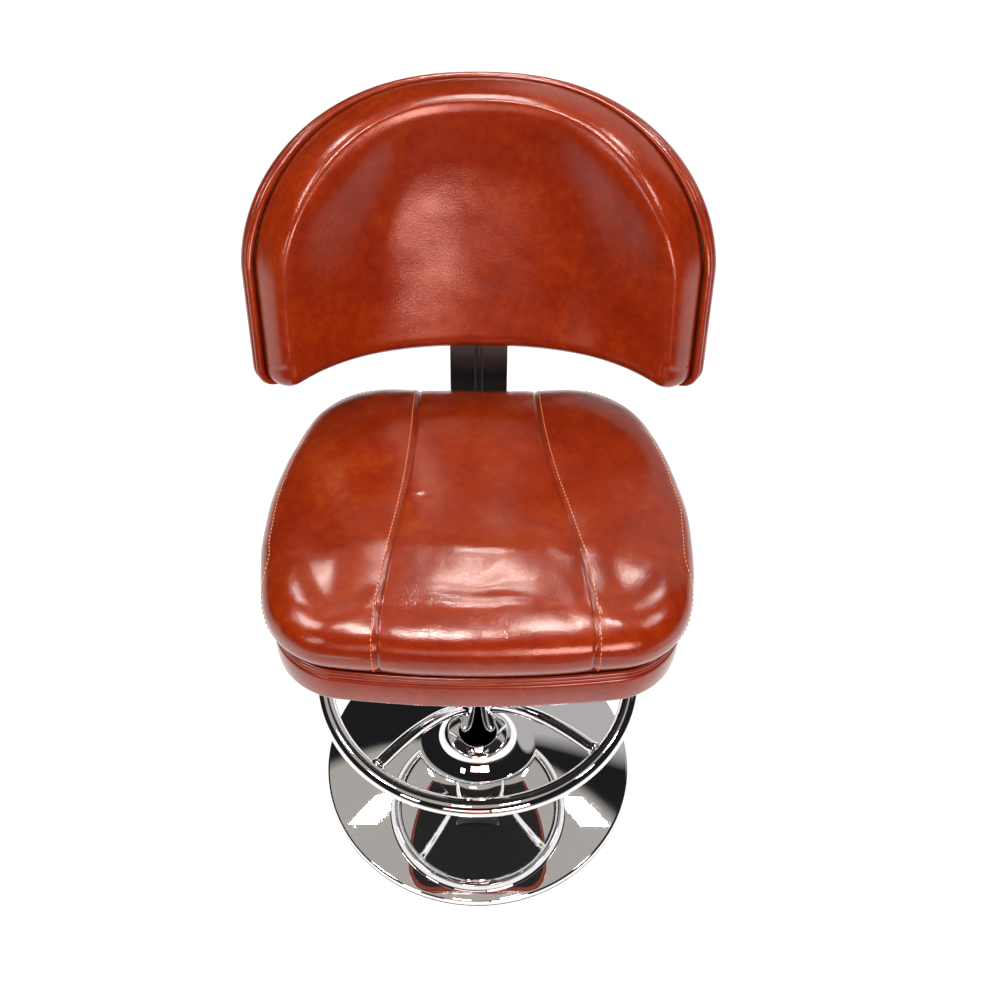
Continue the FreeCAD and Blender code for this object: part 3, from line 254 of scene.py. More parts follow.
mottled = math_node(tree, "SUBTRACT", floor_painted_light, math_node(tree, "MULTIPLY", cloud, 0.06))
feed(tree, shader, Base_Color=ramp(tree, mottled, FLOOR_PAINTED_SHADE_TONES), Emission_Color=FLOOR_WHITE,
     Emission_Strength=math_node(tree, "MULTIPLY", floor_painted_light, FLOOR_GLOW))
floor_mesh.materials.append(floor_paint)
print("lights and floor ready")

# %% [markdown]
# ## Shared surface effects
# Three effects come back on several finishes, so each is a node group with its own dials.
# *Pebble grain* is the embossed skin of coated leather and of moulded plastic. *Cloudy tone* is the
# uneven dye that gives antique leather its depth. *Handling haze* is the faint smear and the fine
# scratches that polished metal picks up.


# %% Group builder
def new_group(name, inputs, outputs):
    """An empty shader node group with named sockets."""
    group = bpy.data.node_groups.new(name, "ShaderNodeTree")
    for label, kind, value in inputs:
        socket = group.interface.new_socket(name=label, in_out="INPUT", socket_type=kind)
        if value is not None:
            socket.default_value = value
    for label, kind in outputs:
        group.interface.new_socket(name=label, in_out="OUTPUT", socket_type=kind)
    return group, group.nodes.new("NodeGroupInput").outputs, group.nodes.new("NodeGroupOutput")


FLOAT = "NodeSocketFloat"
COLOUR = "NodeSocketColor"
VECTOR = "NodeSocketVector"


# %% Pebble grain
def make_pebble_grain():
    group, given, put = new_group(
        "pebble_grain", [("Vector", VECTOR, None), ("Cells per metre", FLOAT, 600.0)],
        [("Height", FLOAT), ("Creases", FLOAT)])
    shared = {"Vector": given["Vector"], "Scale": given["Cells per metre"]}
    cells = add_node(group, "TexVoronoi", Randomness=0.9, **shared)
    pebbles = add_node(group, "TexNoise", Detail=2.0, Roughness=0.55, **shared)
    feed(group, put, Height=pebbles.outputs["Fac"], Creases=cells.outputs["Distance"])
    return group


pebble_grain = make_pebble_grain()
print("group:", pebble_grain.name)


# %% Cloudy tone
def make_cloudy_tone():
    group, given, put = new_group(
        "cloudy_tone",
        [("Vector", VECTOR, None), ("Dark", COLOUR, None), ("Middle", COLOUR, None), ("Light", COLOUR, None)],
        [("Color", COLOUR), ("Cloud", FLOAT)])
    place = given["Vector"]
    broad = add_node(group, "TexNoise", Vector=place, Scale=16.0, Detail=4.0, Roughness=0.55, Distortion=0.4)
    fine = add_node(group, "TexNoise", Vector=place, Scale=95.0, Detail=6.0, Roughness=0.68)
    share = math_node(group, "MULTIPLY", fine.outputs["Fac"], 0.5)
    cloud = math_node(group, "MULTIPLY_ADD", broad.outputs["Fac"], 0.5, share)
    lower = map_range(group, cloud, From_Min=0.36, From_Max=0.52)
    upper = map_range(group, cloud, From_Min=0.52, From_Max=0.68)
    deep = mix_colours(group, lower, given["Dark"], given["Middle"])
    feed(group, put, Color=mix_colours(group, upper, deep, given["Light"]), Cloud=cloud)
    return group


cloudy_tone = make_cloudy_tone()
print("group:", cloudy_tone.name)


# %% Handling haze
def make_handling_haze():
    group, given, put = new_group(
        "handling_haze", [("Vector", VECTOR, None), ("Clean", FLOAT, 0.03), ("Smeared", FLOAT, 0.12)],
        [("Roughness", FLOAT), ("Scratch", FLOAT)])
    place = given["Vector"]
    smear = add_node(group, "TexNoise", Vector=place, Scale=14.0, Detail=6.0, Roughness=0.6, Distortion=1.2)
    stretch = add_node(group, "Mapping", Vector=place, Scale=(40.0, 700.0, 300.0), Rotation=(0.3, 0.2, 0.7))
    scratch = add_node(group, "TexNoise", Vector=stretch.outputs["Vector"], Scale=1.0, Detail=3.0)
    blur = map_range(group, smear.outputs["Fac"], From_Min=0.50, From_Max=0.78,
                     To_Min=given["Clean"], To_Max=given["Smeared"])
    feed(group, put, Roughness=blur, Scratch=scratch.outputs["Fac"])
    return group


handling_haze = make_handling_haze()
print("group:", handling_haze.name)

# %% [markdown]
# ## The finishes
# The leather is a coated hide in three tones of cognac: a cloudy dye under a glossy skin, with a fine
# pebble that breaks up every highlight. Along a seam the dye is darker, where it was rubbed in, and
# painted shade darkens the crease where the seat cushion tucks in above the piping, its underside and
# the groove round the back cushion's edge. So the cushions carry a value called `seam` on their points
# and the finish reads it.


# %% Finish helpers
def use_group(tree, group, place, **values):
    return add_node(tree, "Group", node_tree=group, Vector=place, **values).outputs


def add_bump(tree, shader, height, distance):
    """Makes a height from 0 to 1 look like relief of that distance."""
    normal = add_node(tree, "Bump", Height=height, Strength=1.0, Distance=distance).outputs["Normal"]
    feed(tree, shader, Normal=normal)
    return normal


# %% Cognac leather
LEATHER_DARK = (0.134, 0.0092, 0.0012, 1.0)
LEATHER_MIDDLE = (0.178, 0.0150, 0.0016, 1.0)
LEATHER_LIGHT = (0.217, 0.0275, 0.0022, 1.0)
LEATHER_SHEEN = (1.0, 0.78, 0.68, 1.0)
SEAM_DYE_AND_SHADE = (0.10, 0.008, 0.003, 1.0)
SEAM_SHARE = 0.75


def make_leather(name, cells, depth):
    material, tree, shader, place = new_finish(name)
    tone = use_group(tree, cloudy_tone, place, Dark=LEATHER_DARK, Middle=LEATHER_MIDDLE, Light=LEATHER_LIGHT)
    grain = use_group(tree, pebble_grain, place, Cells_per_metre=cells)
    seam = add_node(tree, "Attribute", attribute_name="seam").outputs["Fac"]
    # The seam value mixes in a darker colour: real dye along the seams, and painted shade in the creases
    # where the cushions tuck in or meet the piping.
    seam_dye_and_painted_shade = mix_colours(tree, math_node(tree, "MULTIPLY", seam, SEAM_SHARE), tone["Color"], SEAM_DYE_AND_SHADE)
    gloss = map_range(tree, grain["Creases"], To_Min=0.15, To_Max=0.23)
    normal = add_bump(tree, shader, grain["Height"], depth)
    feed(tree, shader, Base_Color=seam_dye_and_painted_shade, Roughness=gloss, Specular_IOR_Level=0.45,
         Specular_Tint=LEATHER_SHEEN, Coat_Weight=0.28, Coat_Roughness=0.09, Coat_Normal=normal)
    return material


leather = make_leather("cognac_leather", 560.0, 0.00019)
piping_leather = make_leather("piping_leather", 900.0, 0.00006)
print("finish:", leather.name, piping_leather.name)

# %% [markdown]
# Thread is a twisted polyester, a shade lighter than the hide. The chrome is a mirror with a trace
# of haze. Black powder coat has an orange-peel skin, and zinc plate is a dull, streaked silver.

# %% Thread, chrome, powder coat and zinc
THREAD_TONES = [(0.0, (0.42, 0.13, 0.035)), (1.0, (0.75, 0.32, 0.11))]
CHROME_TONES = [(0.3, (0.80, 0.80, 0.81)), (0.75, (0.84, 0.84, 0.85))]
COAT_TONES = [(0.3, grey(0.010)), (0.8, grey(0.022))]
ZINC_TONES = [(0.25, (0.42, 0.43, 0.45)), (0.8, (0.62, 0.63, 0.64))]


def make_ramped(name, roughness, tones, relief, texture, output, stretch=(1.0, 1.0, 1.0), **dials):
    """A finish with one texture, which gives both its colour and its relief."""
    material, tree, shader, place = new_finish(name, roughness)
    place = add_node(tree, "Mapping", Vector=place, Scale=stretch).outputs["Vector"]
    value = add_node(tree, texture, Vector=place, **dials).outputs[output]
    feed(tree, shader, Base_Color=ramp(tree, value, tones))
    add_bump(tree, shader, value, relief)
    return material


def add_handling(tree, shader, place, clean, smeared, tones):
    """Puts smears in the gloss and scratches in the colour, and returns the scratches."""
    haze = use_group(tree, handling_haze, place, Clean=clean, Smeared=smeared)
    feed(tree, shader, Base_Color=ramp(tree, haze["Scratch"], tones), Roughness=haze["Roughness"])
    return haze["Scratch"]


def make_chrome():
    material, tree, shader, place = new_finish("mirror_chrome", 0.04, 1.0)
    add_handling(tree, shader, place, 0.012, 0.05, CHROME_TONES)
    return material


def make_powder_coat():
    material, tree, shader, place = new_finish("black_powder_coat", 0.42)
    add_handling(tree, shader, place, 0.36, 0.52, COAT_TONES)
    grain = use_group(tree, pebble_grain, place, Cells_per_metre=900.0)
    add_bump(tree, shader, grain["Height"], 0.00006)
    return material


def make_zinc():
    material, tree, shader, place = new_finish("bright_zinc", 0.3, 1.0)
    scratch = add_handling(tree, shader, place, 0.24, 0.42, ZINC_TONES)
    add_bump(tree, shader, scratch, 0.00004)
    return material


thread = make_ramped("waxed_thread", 0.45, THREAD_TONES, 0.0001, "TexWave", "Fac",
                     bands_direction="DIAGONAL", Scale=420.0, Distortion=1.0)
chrome = make_chrome()
powder_coat = make_powder_coat()
zinc = make_zinc()
print("finishes:", thread.name, chrome.name, powder_coat.name, zinc.name)

# %% [markdown]
# What sits underneath or inside gets its own plain finish too: rubber under the rim, moulded
# plastic, cast iron, foam, raw plywood and the black lining that is stapled under a seat.

# %% Rubber, plastic, iron, foam, plywood and lining
PLY_TONES = [(0.3, (0.42, 0.27, 0.14)), (0.7, (0.62, 0.46, 0.28))]
PLY_FIBRES = (14.0, 160.0, 160.0)
LINING_TONES = [(0.1, grey(0.012)), (0.7, grey(0.004))]


def make_grained(name, dark, light, cells, roughness, depth):
    """A moulded or cast skin: pebble bump with a slightly cloudy colour."""
    material, tree, shader, place = new_finish(name, roughness)
    middle = tuple((a + b) / 2 for a, b in zip(dark, light))
    tone = use_group(tree, cloudy_tone, place, Dark=(*dark, 1.0), Middle=(*middle, 1.0), Light=(*light, 1.0))
    grain = use_group(tree, pebble_grain, place, Cells_per_metre=cells)
    wear = map_range(tree, tone["Cloud"], To_Min=roughness - 0.08, To_Max=roughness + 0.08)
    feed(tree, shader, Base_Color=tone["Color"], Roughness=wear)
    add_bump(tree, shader, grain["Height"], depth)
    return material


rubber = make_grained("black_rubber", grey(0.012), grey(0.035), 1400.0, 0.72, 0.00005)
plastic = make_grained("moulded_plastic", grey(0.012), grey(0.030), 1100.0, 0.50, 0.00006)
iron = make_grained("cast_iron", grey(0.045), grey(0.11), 420.0, 0.70, 0.00025)
foam = make_grained("open_foam", (0.55, 0.45, 0.25), (0.75, 0.65, 0.42), 700.0, 0.90, 0.0004)
plywood = make_ramped("raw_plywood", 0.65, PLY_TONES, 0.0002, "TexNoise", "Fac", PLY_FIBRES,
                      Scale=1.0, Detail=5.0, Distortion=0.8)
lining = make_ramped("black_lining", 0.9, LINING_TONES, 0.0002, "TexVoronoi", "Distance", Scale=900.0)
SLOT_FINISH = {"chrome": chrome, "black_paint": powder_coat, "steel": zinc, "leather": leather, "foam": foam,
               "plywood": plywood, "rubber": rubber, "plastic": plastic, "iron": iron, "lining": lining}
for entry in frame["record"]["subparts"]:
    solid = nodes[entry["node"]]
    solid.data.materials.clear()
    solid.data.materials.append(SLOT_FINISH[entry["material_slot"]])

# %% [markdown]
# ## Mesh helpers
# Most pieces are grids of points: a profile turned round the column, a tube along a path, or a
# cushion drawn over its plan. One helper makes the faces, and another adds the piece to the stool.


# %% Grid and piece helpers
def grid_faces(rows, columns, wrap_rows=False, wrap_columns=False, start=0):
    """Quads between neighbouring points of a grid that is stored row by row."""
    faces = []
    for i in range(rows if wrap_rows else rows - 1):
        for j in range(columns if wrap_columns else columns - 1):
            down = (i + 1) % rows
            right = (j + 1) % columns
            faces.append((start + i * columns + j, start + i * columns + right,
                          start + down * columns + right, start + down * columns + j))
    return faces


def add_piece(name, points, faces, material, body, slot, merge=0.0):
    """Adds a smooth mesh in the stool's frame and lets it ride on a body."""
    mesh = bpy.data.meshes.new(name)
    mesh.from_pydata([tuple(p) for p in points], [], faces)
    mesh.materials.append(material)
    work = bmesh.new()
    work.from_mesh(mesh)
    if merge:
        bmesh.ops.remove_doubles(work, verts=work.verts, dist=merge)
    bmesh.ops.recalc_face_normals(work, faces=work.faces)
    for face in work.faces:
        face.smooth = True
    work.to_mesh(mesh)
    work.free()
    piece = bpy.data.objects.new(name, mesh)
    bpy.context.scene.collection.objects.link(piece)
    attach(piece, body)
    return piece


def lathe(profile, segments):
    """Points and faces of a closed profile of (radius, height) turned round the column."""
    angles = np.linspace(0, 2 * np.pi, segments, endpoint=False)
    points = [(r * math.cos(a), r * math.sin(a), z) for r, z in profile for a in angles]
    return points, grid_faces(len(profile), segments, wrap_rows=True, wrap_columns=True)


def arc_points(centre, radius, start, end, count):
    """Points on an arc in the plane of a profile, angles in degrees from the outward axis."""
    angles = np.radians(np.linspace(start, end, count))
    return [(centre[0] + radius * math.cos(a), centre[1] + radius * math.sin(a)) for a in angles]


def capped_faces(count, sides):
    """Faces of an open tube of rings, with both ends closed."""
    ends = [tuple(range(sides))[::-1], tuple(range((count - 1) * sides, count * sides))]
    return grid_faces(count, sides, wrap_columns=True) + ends


def tube(path, radius, sides, closed=False):
    """Points and faces of a round tube along a path, as a loop or with its ends closed."""
    path = np.asarray(path, float)
    count = len(path)
    if closed:
        along = np.roll(path, -1, 0) - np.roll(path, 1, 0)
    else:
        along = np.gradient(path, axis=0)
    along /= np.linalg.norm(along, axis=1)[:, None]
    side = np.cross(along[0], (0, 0, 1.0))
    turn = np.linspace(0, 2 * np.pi, sides, endpoint=False)
    points = []
    for k in range(count):
        side = side - along[k] * side.dot(along[k])
        side /= np.linalg.norm(side)
        lift = np.cross(along[k], side)
        for a in turn:
            points.append(path[k] + radius[k] * (math.cos(a) * side + math.sin(a) * lift))
    if closed:
        return points, grid_faces(count, sides, wrap_rows=True, wrap_columns=True)
    return points, capped_faces(count, sides)


def joined(meshes):
    """Several meshes, each of points and faces, as one."""
    points, faces = [], []
    for more_points, more_faces in meshes:
        faces += [tuple(len(points) + k for k in face) for face in more_faces]
        points += more_points
    return points, faces


def run_along(line):
    """How far along a line each of its points lies, for points in the plane or in space."""
    steps = np.diff(line, axis=0)
    lengths = np.abs(steps) if steps.ndim == 1 else np.linalg.norm(steps, axis=1)
    return np.concatenate([[0], np.cumsum(lengths)])


print("mesh helpers ready")

# %% [markdown]
# ## The chrome base and column
# The base is spun from sheet: a shallow cone that sweeps up into a neck. A mirror surface needs an
# exact curve, so its profile is drawn again from arcs and turned in many steps. The collar covers
# the joint between the neck and the column.

# %% Base, collar and column
SEGMENTS = 288
BASE_RADIUS = 225 * MM
SHEET = 2 * MM
RIM_FOOT = 3 * MM
RIM_TOP = 6 * MM
RIM_EDGE = 5 * MM
CONE_ANGLE = 10.5
FLARE_RADIUS = 58 * MM
NECK_RADIUS = 42 * MM
NECK_ANGLE = 70.0
COLUMN_RADIUS = 25.5 * MM


def base_profile():
    """The sheet's outer side from the rim to the neck, and back down its inner side."""
    edge = (BASE_RADIUS - RIM_EDGE, RIM_TOP)
    slope = math.radians(CONE_ANGLE)
    flare_x = NECK_RADIUS + FLARE_RADIUS * math.sin(math.radians(NECK_ANGLE))
    start = (edge[0] + RIM_EDGE * math.sin(slope), edge[1] + RIM_EDGE * math.cos(slope))
    foot_x = flare_x - FLARE_RADIUS * math.sin(slope)
    foot_z = start[1] + (start[0] - foot_x) * math.tan(slope)
    flare = (flare_x, foot_z + FLARE_RADIUS * math.cos(slope))
    outer = [(BASE_RADIUS, RIM_FOOT)] + arc_points(edge, RIM_EDGE, 0, 90 - CONE_ANGLE, 10)
    outer += arc_points(flare, FLARE_RADIUS, 270 - CONE_ANGLE, 270 - NECK_ANGLE, 40)
    inner = [(BASE_RADIUS - SHEET, RIM_FOOT)] + arc_points(edge, RIM_EDGE - SHEET, 0, 90 - CONE_ANGLE, 6)
    inner += arc_points(flare, FLARE_RADIUS + SHEET, 270 - CONE_ANGLE, 270 - NECK_ANGLE, 16)
    return outer, inner[::-1]


outer_side, inner_side = base_profile()
neck_top = outer_side[-1][1]
base = add_piece("trumpet_base", *lathe(outer_side + inner_side, SEGMENTS), chrome, "base", "chrome")
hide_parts("base_dome")

COLLAR_RADIUS = 43.5 * MM
COLLAR_BORE = COLUMN_RADIUS + 0.05 * MM
COLLAR_FOOT = COLLAR_RADIUS - 0.6 * MM
COLLAR_LIP = COLUMN_RADIUS + 3.4 * MM
COLLAR_ROUND = 2.2 * MM
COLLAR_EDGE_SHARE = 0.45
collar_low, collar_high = (corner.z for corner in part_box("foot_collar"))
collar_edge = (COLLAR_RADIUS - COLLAR_ROUND, collar_low + COLLAR_EDGE_SHARE * (collar_high - collar_low))
collar_lip = (COLLAR_LIP, collar_high - COLLAR_ROUND)
collar_profile = [(COLLAR_BORE, collar_low), (COLLAR_FOOT, collar_low)]
collar_profile += arc_points(collar_edge, COLLAR_ROUND, 0, 80, 8)
collar_profile += arc_points(collar_lip, COLLAR_ROUND, 80, 178, 8)
collar_profile += [(COLLAR_BORE, collar_high - COLLAR_ROUND)]
collar = add_piece("neck_collar", *lathe(collar_profile, SEGMENTS), chrome, "base", "chrome")
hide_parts("foot_collar")

COLUMN_EDGE = 0.8 * MM
COLUMN_BORE = 23 * MM
COLUMN_SEGMENTS = 128
column_low, column_high = (corner.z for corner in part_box("column_tube"))
column_profile = [(COLUMN_BORE, column_low), (COLUMN_RADIUS, column_low)]
column_profile += arc_points((COLUMN_RADIUS - COLUMN_EDGE, column_high - COLUMN_EDGE), COLUMN_EDGE, 0, 90, 5)
column_profile += [(COLUMN_BORE, column_high)]
column = add_piece("column", *lathe(column_profile, COLUMN_SEGMENTS), chrome, "base", "chrome")
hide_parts("column_tube")
print("base neck at", round(neck_top, 4), "column top", round(column_high, 4))

# %% [markdown]
# ## The foot ring
# A chromed tube is bent into a ring, and four thinner bars rise from the column and run out level
# into it. Each joint has a small bead of weld that was plated over, so a short swelling stands
# round both ends of a bar.

# %% Foot ring and arms
RING_RADIUS = 205.5 * MM
RING_TUBE = 11.5 * MM
RING_LEVEL = 235 * MM
ARM_RADIUS = 8 * MM
ARM_ROOT = 165 * MM
ARM_ANGLE = 50.0
RING_TURN = 5.0
ARM_NAMES = ("front_right", "rear_right", "rear_left", "front_left")
WELD_SWELL = 1.9 * MM
WELD_LENGTH = 3.2 * MM
WELD_PLACE = 1.5 * MM
ARM_SUNK = 1.2 * MM
RING_SUNK = 0.8 * MM
ARM_STEP = 1.5 * MM
RING_SIDES = 40
ARM_SIDES = 28

ring_end = 360 * (RING_SIDES - 1) / RING_SIDES
ring_section = arc_points((RING_RADIUS, RING_LEVEL), RING_TUBE, 0, ring_end, RING_SIDES)
foot_ring = add_piece("foot_ring_tube", *lathe(ring_section, SEGMENTS), chrome, "base", "chrome")
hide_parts("foot_ring")


def arm_path(bearing):
    """From just inside the column's wall, up through the bend and out to the ring."""
    tilt = math.radians(ARM_ANGLE)
    bend = (RING_LEVEL - ARM_ROOT) / (1 - math.cos(tilt))
    end_x = COLUMN_RADIUS + bend * math.sin(tilt)
    points = [(COLUMN_RADIUS - ARM_SUNK * math.cos(tilt), ARM_ROOT - ARM_SUNK * math.sin(tilt))]
    points += [(end_x - bend * math.sin(a), RING_LEVEL - bend + bend * math.cos(a))
               for a in np.linspace(tilt, 0, 40)]
    points.append((RING_RADIUS - RING_TUBE + RING_SUNK, RING_LEVEL))
    path = []
    for (r0, z0), (r1, z1) in zip(points, points[1:]):
        steps = max(1, int(math.hypot(r1 - r0, z1 - z0) / ARM_STEP))
        path += [(r0 + (r1 - r0) * k / steps, z0 + (z1 - z0) * k / steps) for k in range(steps)]
    path.append(points[-1])
    return [(r * math.cos(bearing), r * math.sin(bearing), z) for r, z in path]


def welded_radius(path):
    """The bar's radius along its path, with a bead at both ends."""
    run = run_along(path)
    ends = np.minimum(run, run[-1] - run)
    return ARM_RADIUS + WELD_SWELL * np.exp(-((ends - WELD_PLACE) / WELD_LENGTH) ** 2)


for index, side_name in enumerate(ARM_NAMES):
    path = arm_path(math.radians(-45 + 90 * index + RING_TURN))
    bar = tube(path, welded_radius(path), ARM_SIDES)
    arm = add_piece("ring_arm_" + side_name, *bar, chrome, "base", "chrome")
    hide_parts("foot_arm_" + side_name)
print("ring level", RING_LEVEL, "arms", len(ARM_NAMES))

# %% [markdown]
# ## The plan of the seat
# The seat is a rounded square: four bowed sides joined by four round corners. The same arcs draw
# the band, the piping, the cushion and the lining, so the plan is worked out once. Points in the
# plane are written as complex numbers, which makes a circle through three points one line of sums.

# %% Seat plan
SEAT_HALF_WIDTH = 234 * MM
SEAT_FRONT = 225 * MM
SEAT_REAR = 184 * MM
SEAT_WIDEST_Y = -17 * MM
FRONT_CORNER = complex(206, -207) * MM
REAR_CORNER = complex(176, 180) * MM
FRONT_ROUND = 85 * MM
REAR_ROUND = 98 * MM
QUARTER_POINTS = 400


def circle_through(first, second, third):
    ratio = (third - first) / (second - first)
    shift = (first - second) * (ratio - abs(ratio) ** 2) / 2j / ratio.imag - first
    return -shift, abs(shift + first)


def corner_arc(one, two, radius, near):
    """Start, centre and end of the arc that rounds the corner between two bowed sides."""
    (centre_one, radius_one), (centre_two, radius_two) = one, two
    reach_one = radius_one - radius
    across = centre_two - centre_one
    along = (reach_one ** 2 - (radius_two - radius) ** 2 + abs(across) ** 2) / (2 * abs(across))
    aside = math.sqrt(reach_one ** 2 - along ** 2)
    unit = across / abs(across)
    crossings = [centre_one + unit * complex(along, aside * s) for s in (-1, 1)]
    centre = min(crossings, key=lambda c: abs(c - near))
    start = centre + (centre - centre_one) / abs(centre - centre_one) * radius
    end = centre + (centre - centre_two) / abs(centre - centre_two) * radius
    return start, centre, end


def swept(centre, start, end, count=80):
    """Points on the arc round a centre, up to but without its end."""
    turn = cmath.phase((end - centre) / (start - centre))
    shares = np.linspace(0, 1, count, endpoint=False)
    return [centre + (start - centre) * cmath.exp(1j * turn * t) for t in shares]


def even_loop(quarters):
    """A closed loop with the same number of evenly spaced points on each quarter."""
    loop = []
    for piece in quarters:
        run = run_along(piece)
        loop.append(np.interp(np.linspace(0, run[-1], QUARTER_POINTS, endpoint=False), run, piece))
    return np.concatenate(loop)


def loop_at(loop, share):
    """Points of a closed loop at shares from 0 to 1 round it."""
    return np.interp(np.mod(share, 1.0) * len(loop), np.arange(len(loop) + 1), np.append(loop, loop[0]))


def seat_plan():
    """The outline in four quarters, anticlockwise from the right side."""
    corners = [FRONT_CORNER, REAR_CORNER, -REAR_CORNER.conjugate(), -FRONT_CORNER.conjugate()]
    bows = [complex(0, -SEAT_FRONT), complex(SEAT_HALF_WIDTH, SEAT_WIDEST_Y),
            complex(0, SEAT_REAR), complex(-SEAT_HALF_WIDTH, SEAT_WIDEST_Y)]
    rounds = (FRONT_ROUND, REAR_ROUND, REAR_ROUND, FRONT_ROUND)
    sides = [circle_through(corners[k - 1], bows[k], corners[k]) for k in range(4)]
    arcs = [corner_arc(sides[k], sides[(k + 1) % 4], rounds[k], corners[k]) for k in range(4)]
    outline = []
    for k in (1, 2, 3, 0):
        outline += swept(sides[k][0], bows[k], arcs[k][0])
        outline += swept(arcs[k][1], arcs[k][0], arcs[k][2])
        outline += swept(sides[(k + 1) % 4][0], arcs[k][2], bows[(k + 1) % 4])
    quarter = len(outline) // 4
    closed = np.array(outline + outline[:1])
    return even_loop([closed[k * quarter:(k + 1) * quarter + 1] for k in range(4)])


PLAN = seat_plan()
print("plan", round(np.abs(PLAN.real).max() * 2, 4), "by", round(np.ptp(PLAN.imag), 4))

# %% [markdown]
# ## Band and piping
# Below the cushion a leather band wraps the edge of the board, and two piping cords lie one on the
# other where the band meets the cushion. The band is a loop of rows from its tucked lower edge to
# its tucked upper edge, a little full in the middle. The piping is a covered cord: its skin wrinkles
# slightly as it goes round the corners, so its radius wavers.

# %% Band and piping
UNDERSIDE = 470 * MM
BAND_HEIGHT = 40 * MM
BAND_SCALE = 0.972
BAND_TUCK = 0.015
BAND_WALL = 13.5 * MM
BAND_FLAT = 0.76
BAND_FULL = 1.1 * MM
BAND_EASE = 0.35 * MM
WELT_RADIUS = 2.7 * MM
WELT_PROUD = 1.2 * MM
WELT_WAVER = 0.05 * MM
WELT_SIDES = 20
GAP = 0.3 * MM
band_top = UNDERSIDE + BAND_HEIGHT
lower_welt = band_top + GAP + WELT_RADIUS
upper_welt = lower_welt + 2 * WELT_RADIUS + GAP
cushion_base = upper_welt + WELT_RADIUS + GAP
ROUND_COUNT = 560
EDGE_LINE = loop_at(PLAN, np.arange(ROUND_COUNT) / ROUND_COUNT)
OUTWARD = np.roll(EDGE_LINE, -1) - np.roll(EDGE_LINE, 1)
OUTWARD = OUTWARD / np.abs(OUTWARD) * -1j


def wobble(x, y, z, pitch, seed):
    """Smooth unevenness between -1 and 1, with bumps about `pitch` metres apart."""
    return noise.noise(Vector((x / pitch + seed, y / pitch, z / pitch)))


def wobbles(flat, pitch, seed):
    """The same unevenness at every point of a flat grid."""
    values = [wobble(c.real, c.imag, 0.0, pitch, seed) for c in flat.ravel()]
    return np.array(values).reshape(flat.shape)


def band_rows():
    """Rows of (scale, push out, height) round the band's section."""
    rows = []
    for t in np.linspace(0, 1, 22):
        edge = max(0.0, abs(2 * t - 1) - BAND_FLAT) / (1 - BAND_FLAT)
        tuck = BAND_TUCK * (1 - math.sqrt(max(0.0, 1 - edge ** 2)))
        rows.append((BAND_SCALE - tuck, BAND_FULL * math.sin(math.pi * t), UNDERSIDE + BAND_HEIGHT * t))
    rows.append((BAND_SCALE - BAND_TUCK, -BAND_WALL, band_top))
    rows.append((BAND_SCALE - BAND_TUCK, -BAND_WALL, UNDERSIDE))
    return rows


band_section = band_rows()
band_points = []
for scale, push, z in band_section:
    for c in EDGE_LINE * scale + OUTWARD * push:
        ease = BAND_EASE * wobble(c.real, c.imag, z, 0.05, 3.0) if push > 0 else 0.0
        c = c * (1 + ease / abs(c))
        band_points.append((c.real, c.imag, z))
band_faces = grid_faces(len(band_section), ROUND_COUNT, wrap_rows=True, wrap_columns=True)
band = add_piece("seat_band_leather", band_points, band_faces, leather, "seat", "leather")
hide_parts("seat_band")


def welt_path(level, seed):
    """The middle of a piping cord round the seat."""
    line = EDGE_LINE * (BAND_SCALE - BAND_TUCK) + OUTWARD * WELT_PROUD
    return [(c.real, c.imag, level + WELT_WAVER * wobble(c.real, c.imag, level, 0.05, seed)) for c in line]


def covered_cord(path, radius, sides, waver, pitch, seed):
    """A closed cord whose radius wavers by a share of itself."""
    swell = [radius * (1 + waver * wobble(*p, pitch, seed)) for p in path]
    return tube(path, swell, sides, closed=True)


cords = []
for level, seed in ((lower_welt, 1.0), (upper_welt, 9.0)):
    path = welt_path(level, seed)
    cords.append(covered_cord(path, WELT_RADIUS, WELT_SIDES, 0.008, 0.012, seed))
welt = add_piece("seat_piping", *joined(cords), piping_leather, "seat", "leather")
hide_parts("seat_welt")
print("band top", round(band_top, 4), "cushion base", round(cushion_base, 4))
print("seat piping, one round", round(run_along(path + path[:1])[-1], 3))

# %% [markdown]
# ## The seat cushion
# The cushion is a crowned pad in three panels: a middle panel that widens to the front, and two
# side panels that run over the edge into a gusset. It could be one smooth dome, but sewn leather
# pulls down along every seam, sinks where people sit and ripples behind the front edge. So the pad
# starts as a dome over the plan, drawn on a square grid so that its quads stay even, and is then
# moved along its normals: a seat dip, soft ripples, and a valley along each long seam.

# %% Cushion form
CUSHION_HEIGHT = 83 * MM
WIDEST_RISE = 26 * MM
CROWN_RISE = CUSHION_HEIGHT - WIDEST_RISE
EDGE_RISE = 0.4 * MM
EDGE_SCALE = 0.90
DRAWN_IN = 0.044
TUCKED_IN = 0.008
TUCK_SHARE = 0.10
FULLNESS = 3.0
GRID = 321
MEAN_REACH = 0.215


def cushion_profile():
    """Rows of scale and height from the lower edge to the crown, and their shares along the skin."""
    rows = [(EDGE_SCALE, EDGE_RISE), (1 - DRAWN_IN - TUCKED_IN, EDGE_RISE)]
    for t in np.linspace(0, 1, 30)[1:]:
        tuck = TUCKED_IN * max(0.0, 1 - t / TUCK_SHARE) ** 2
        rows.append((1 - DRAWN_IN * (1 - t) ** 2 - tuck, WIDEST_RISE * t))
    power = 2 / FULLNESS
    for angle in np.radians(np.linspace(0, 90, 220))[1:]:
        rows.append((math.cos(angle) ** power, WIDEST_RISE + CROWN_RISE * math.sin(angle) ** power))
    table = np.array(rows)
    table[-1, 0] = 0.0
    run = run_along(table[:, 0] * MEAN_REACH + 1j * table[:, 1])
    return run / run[-1], table


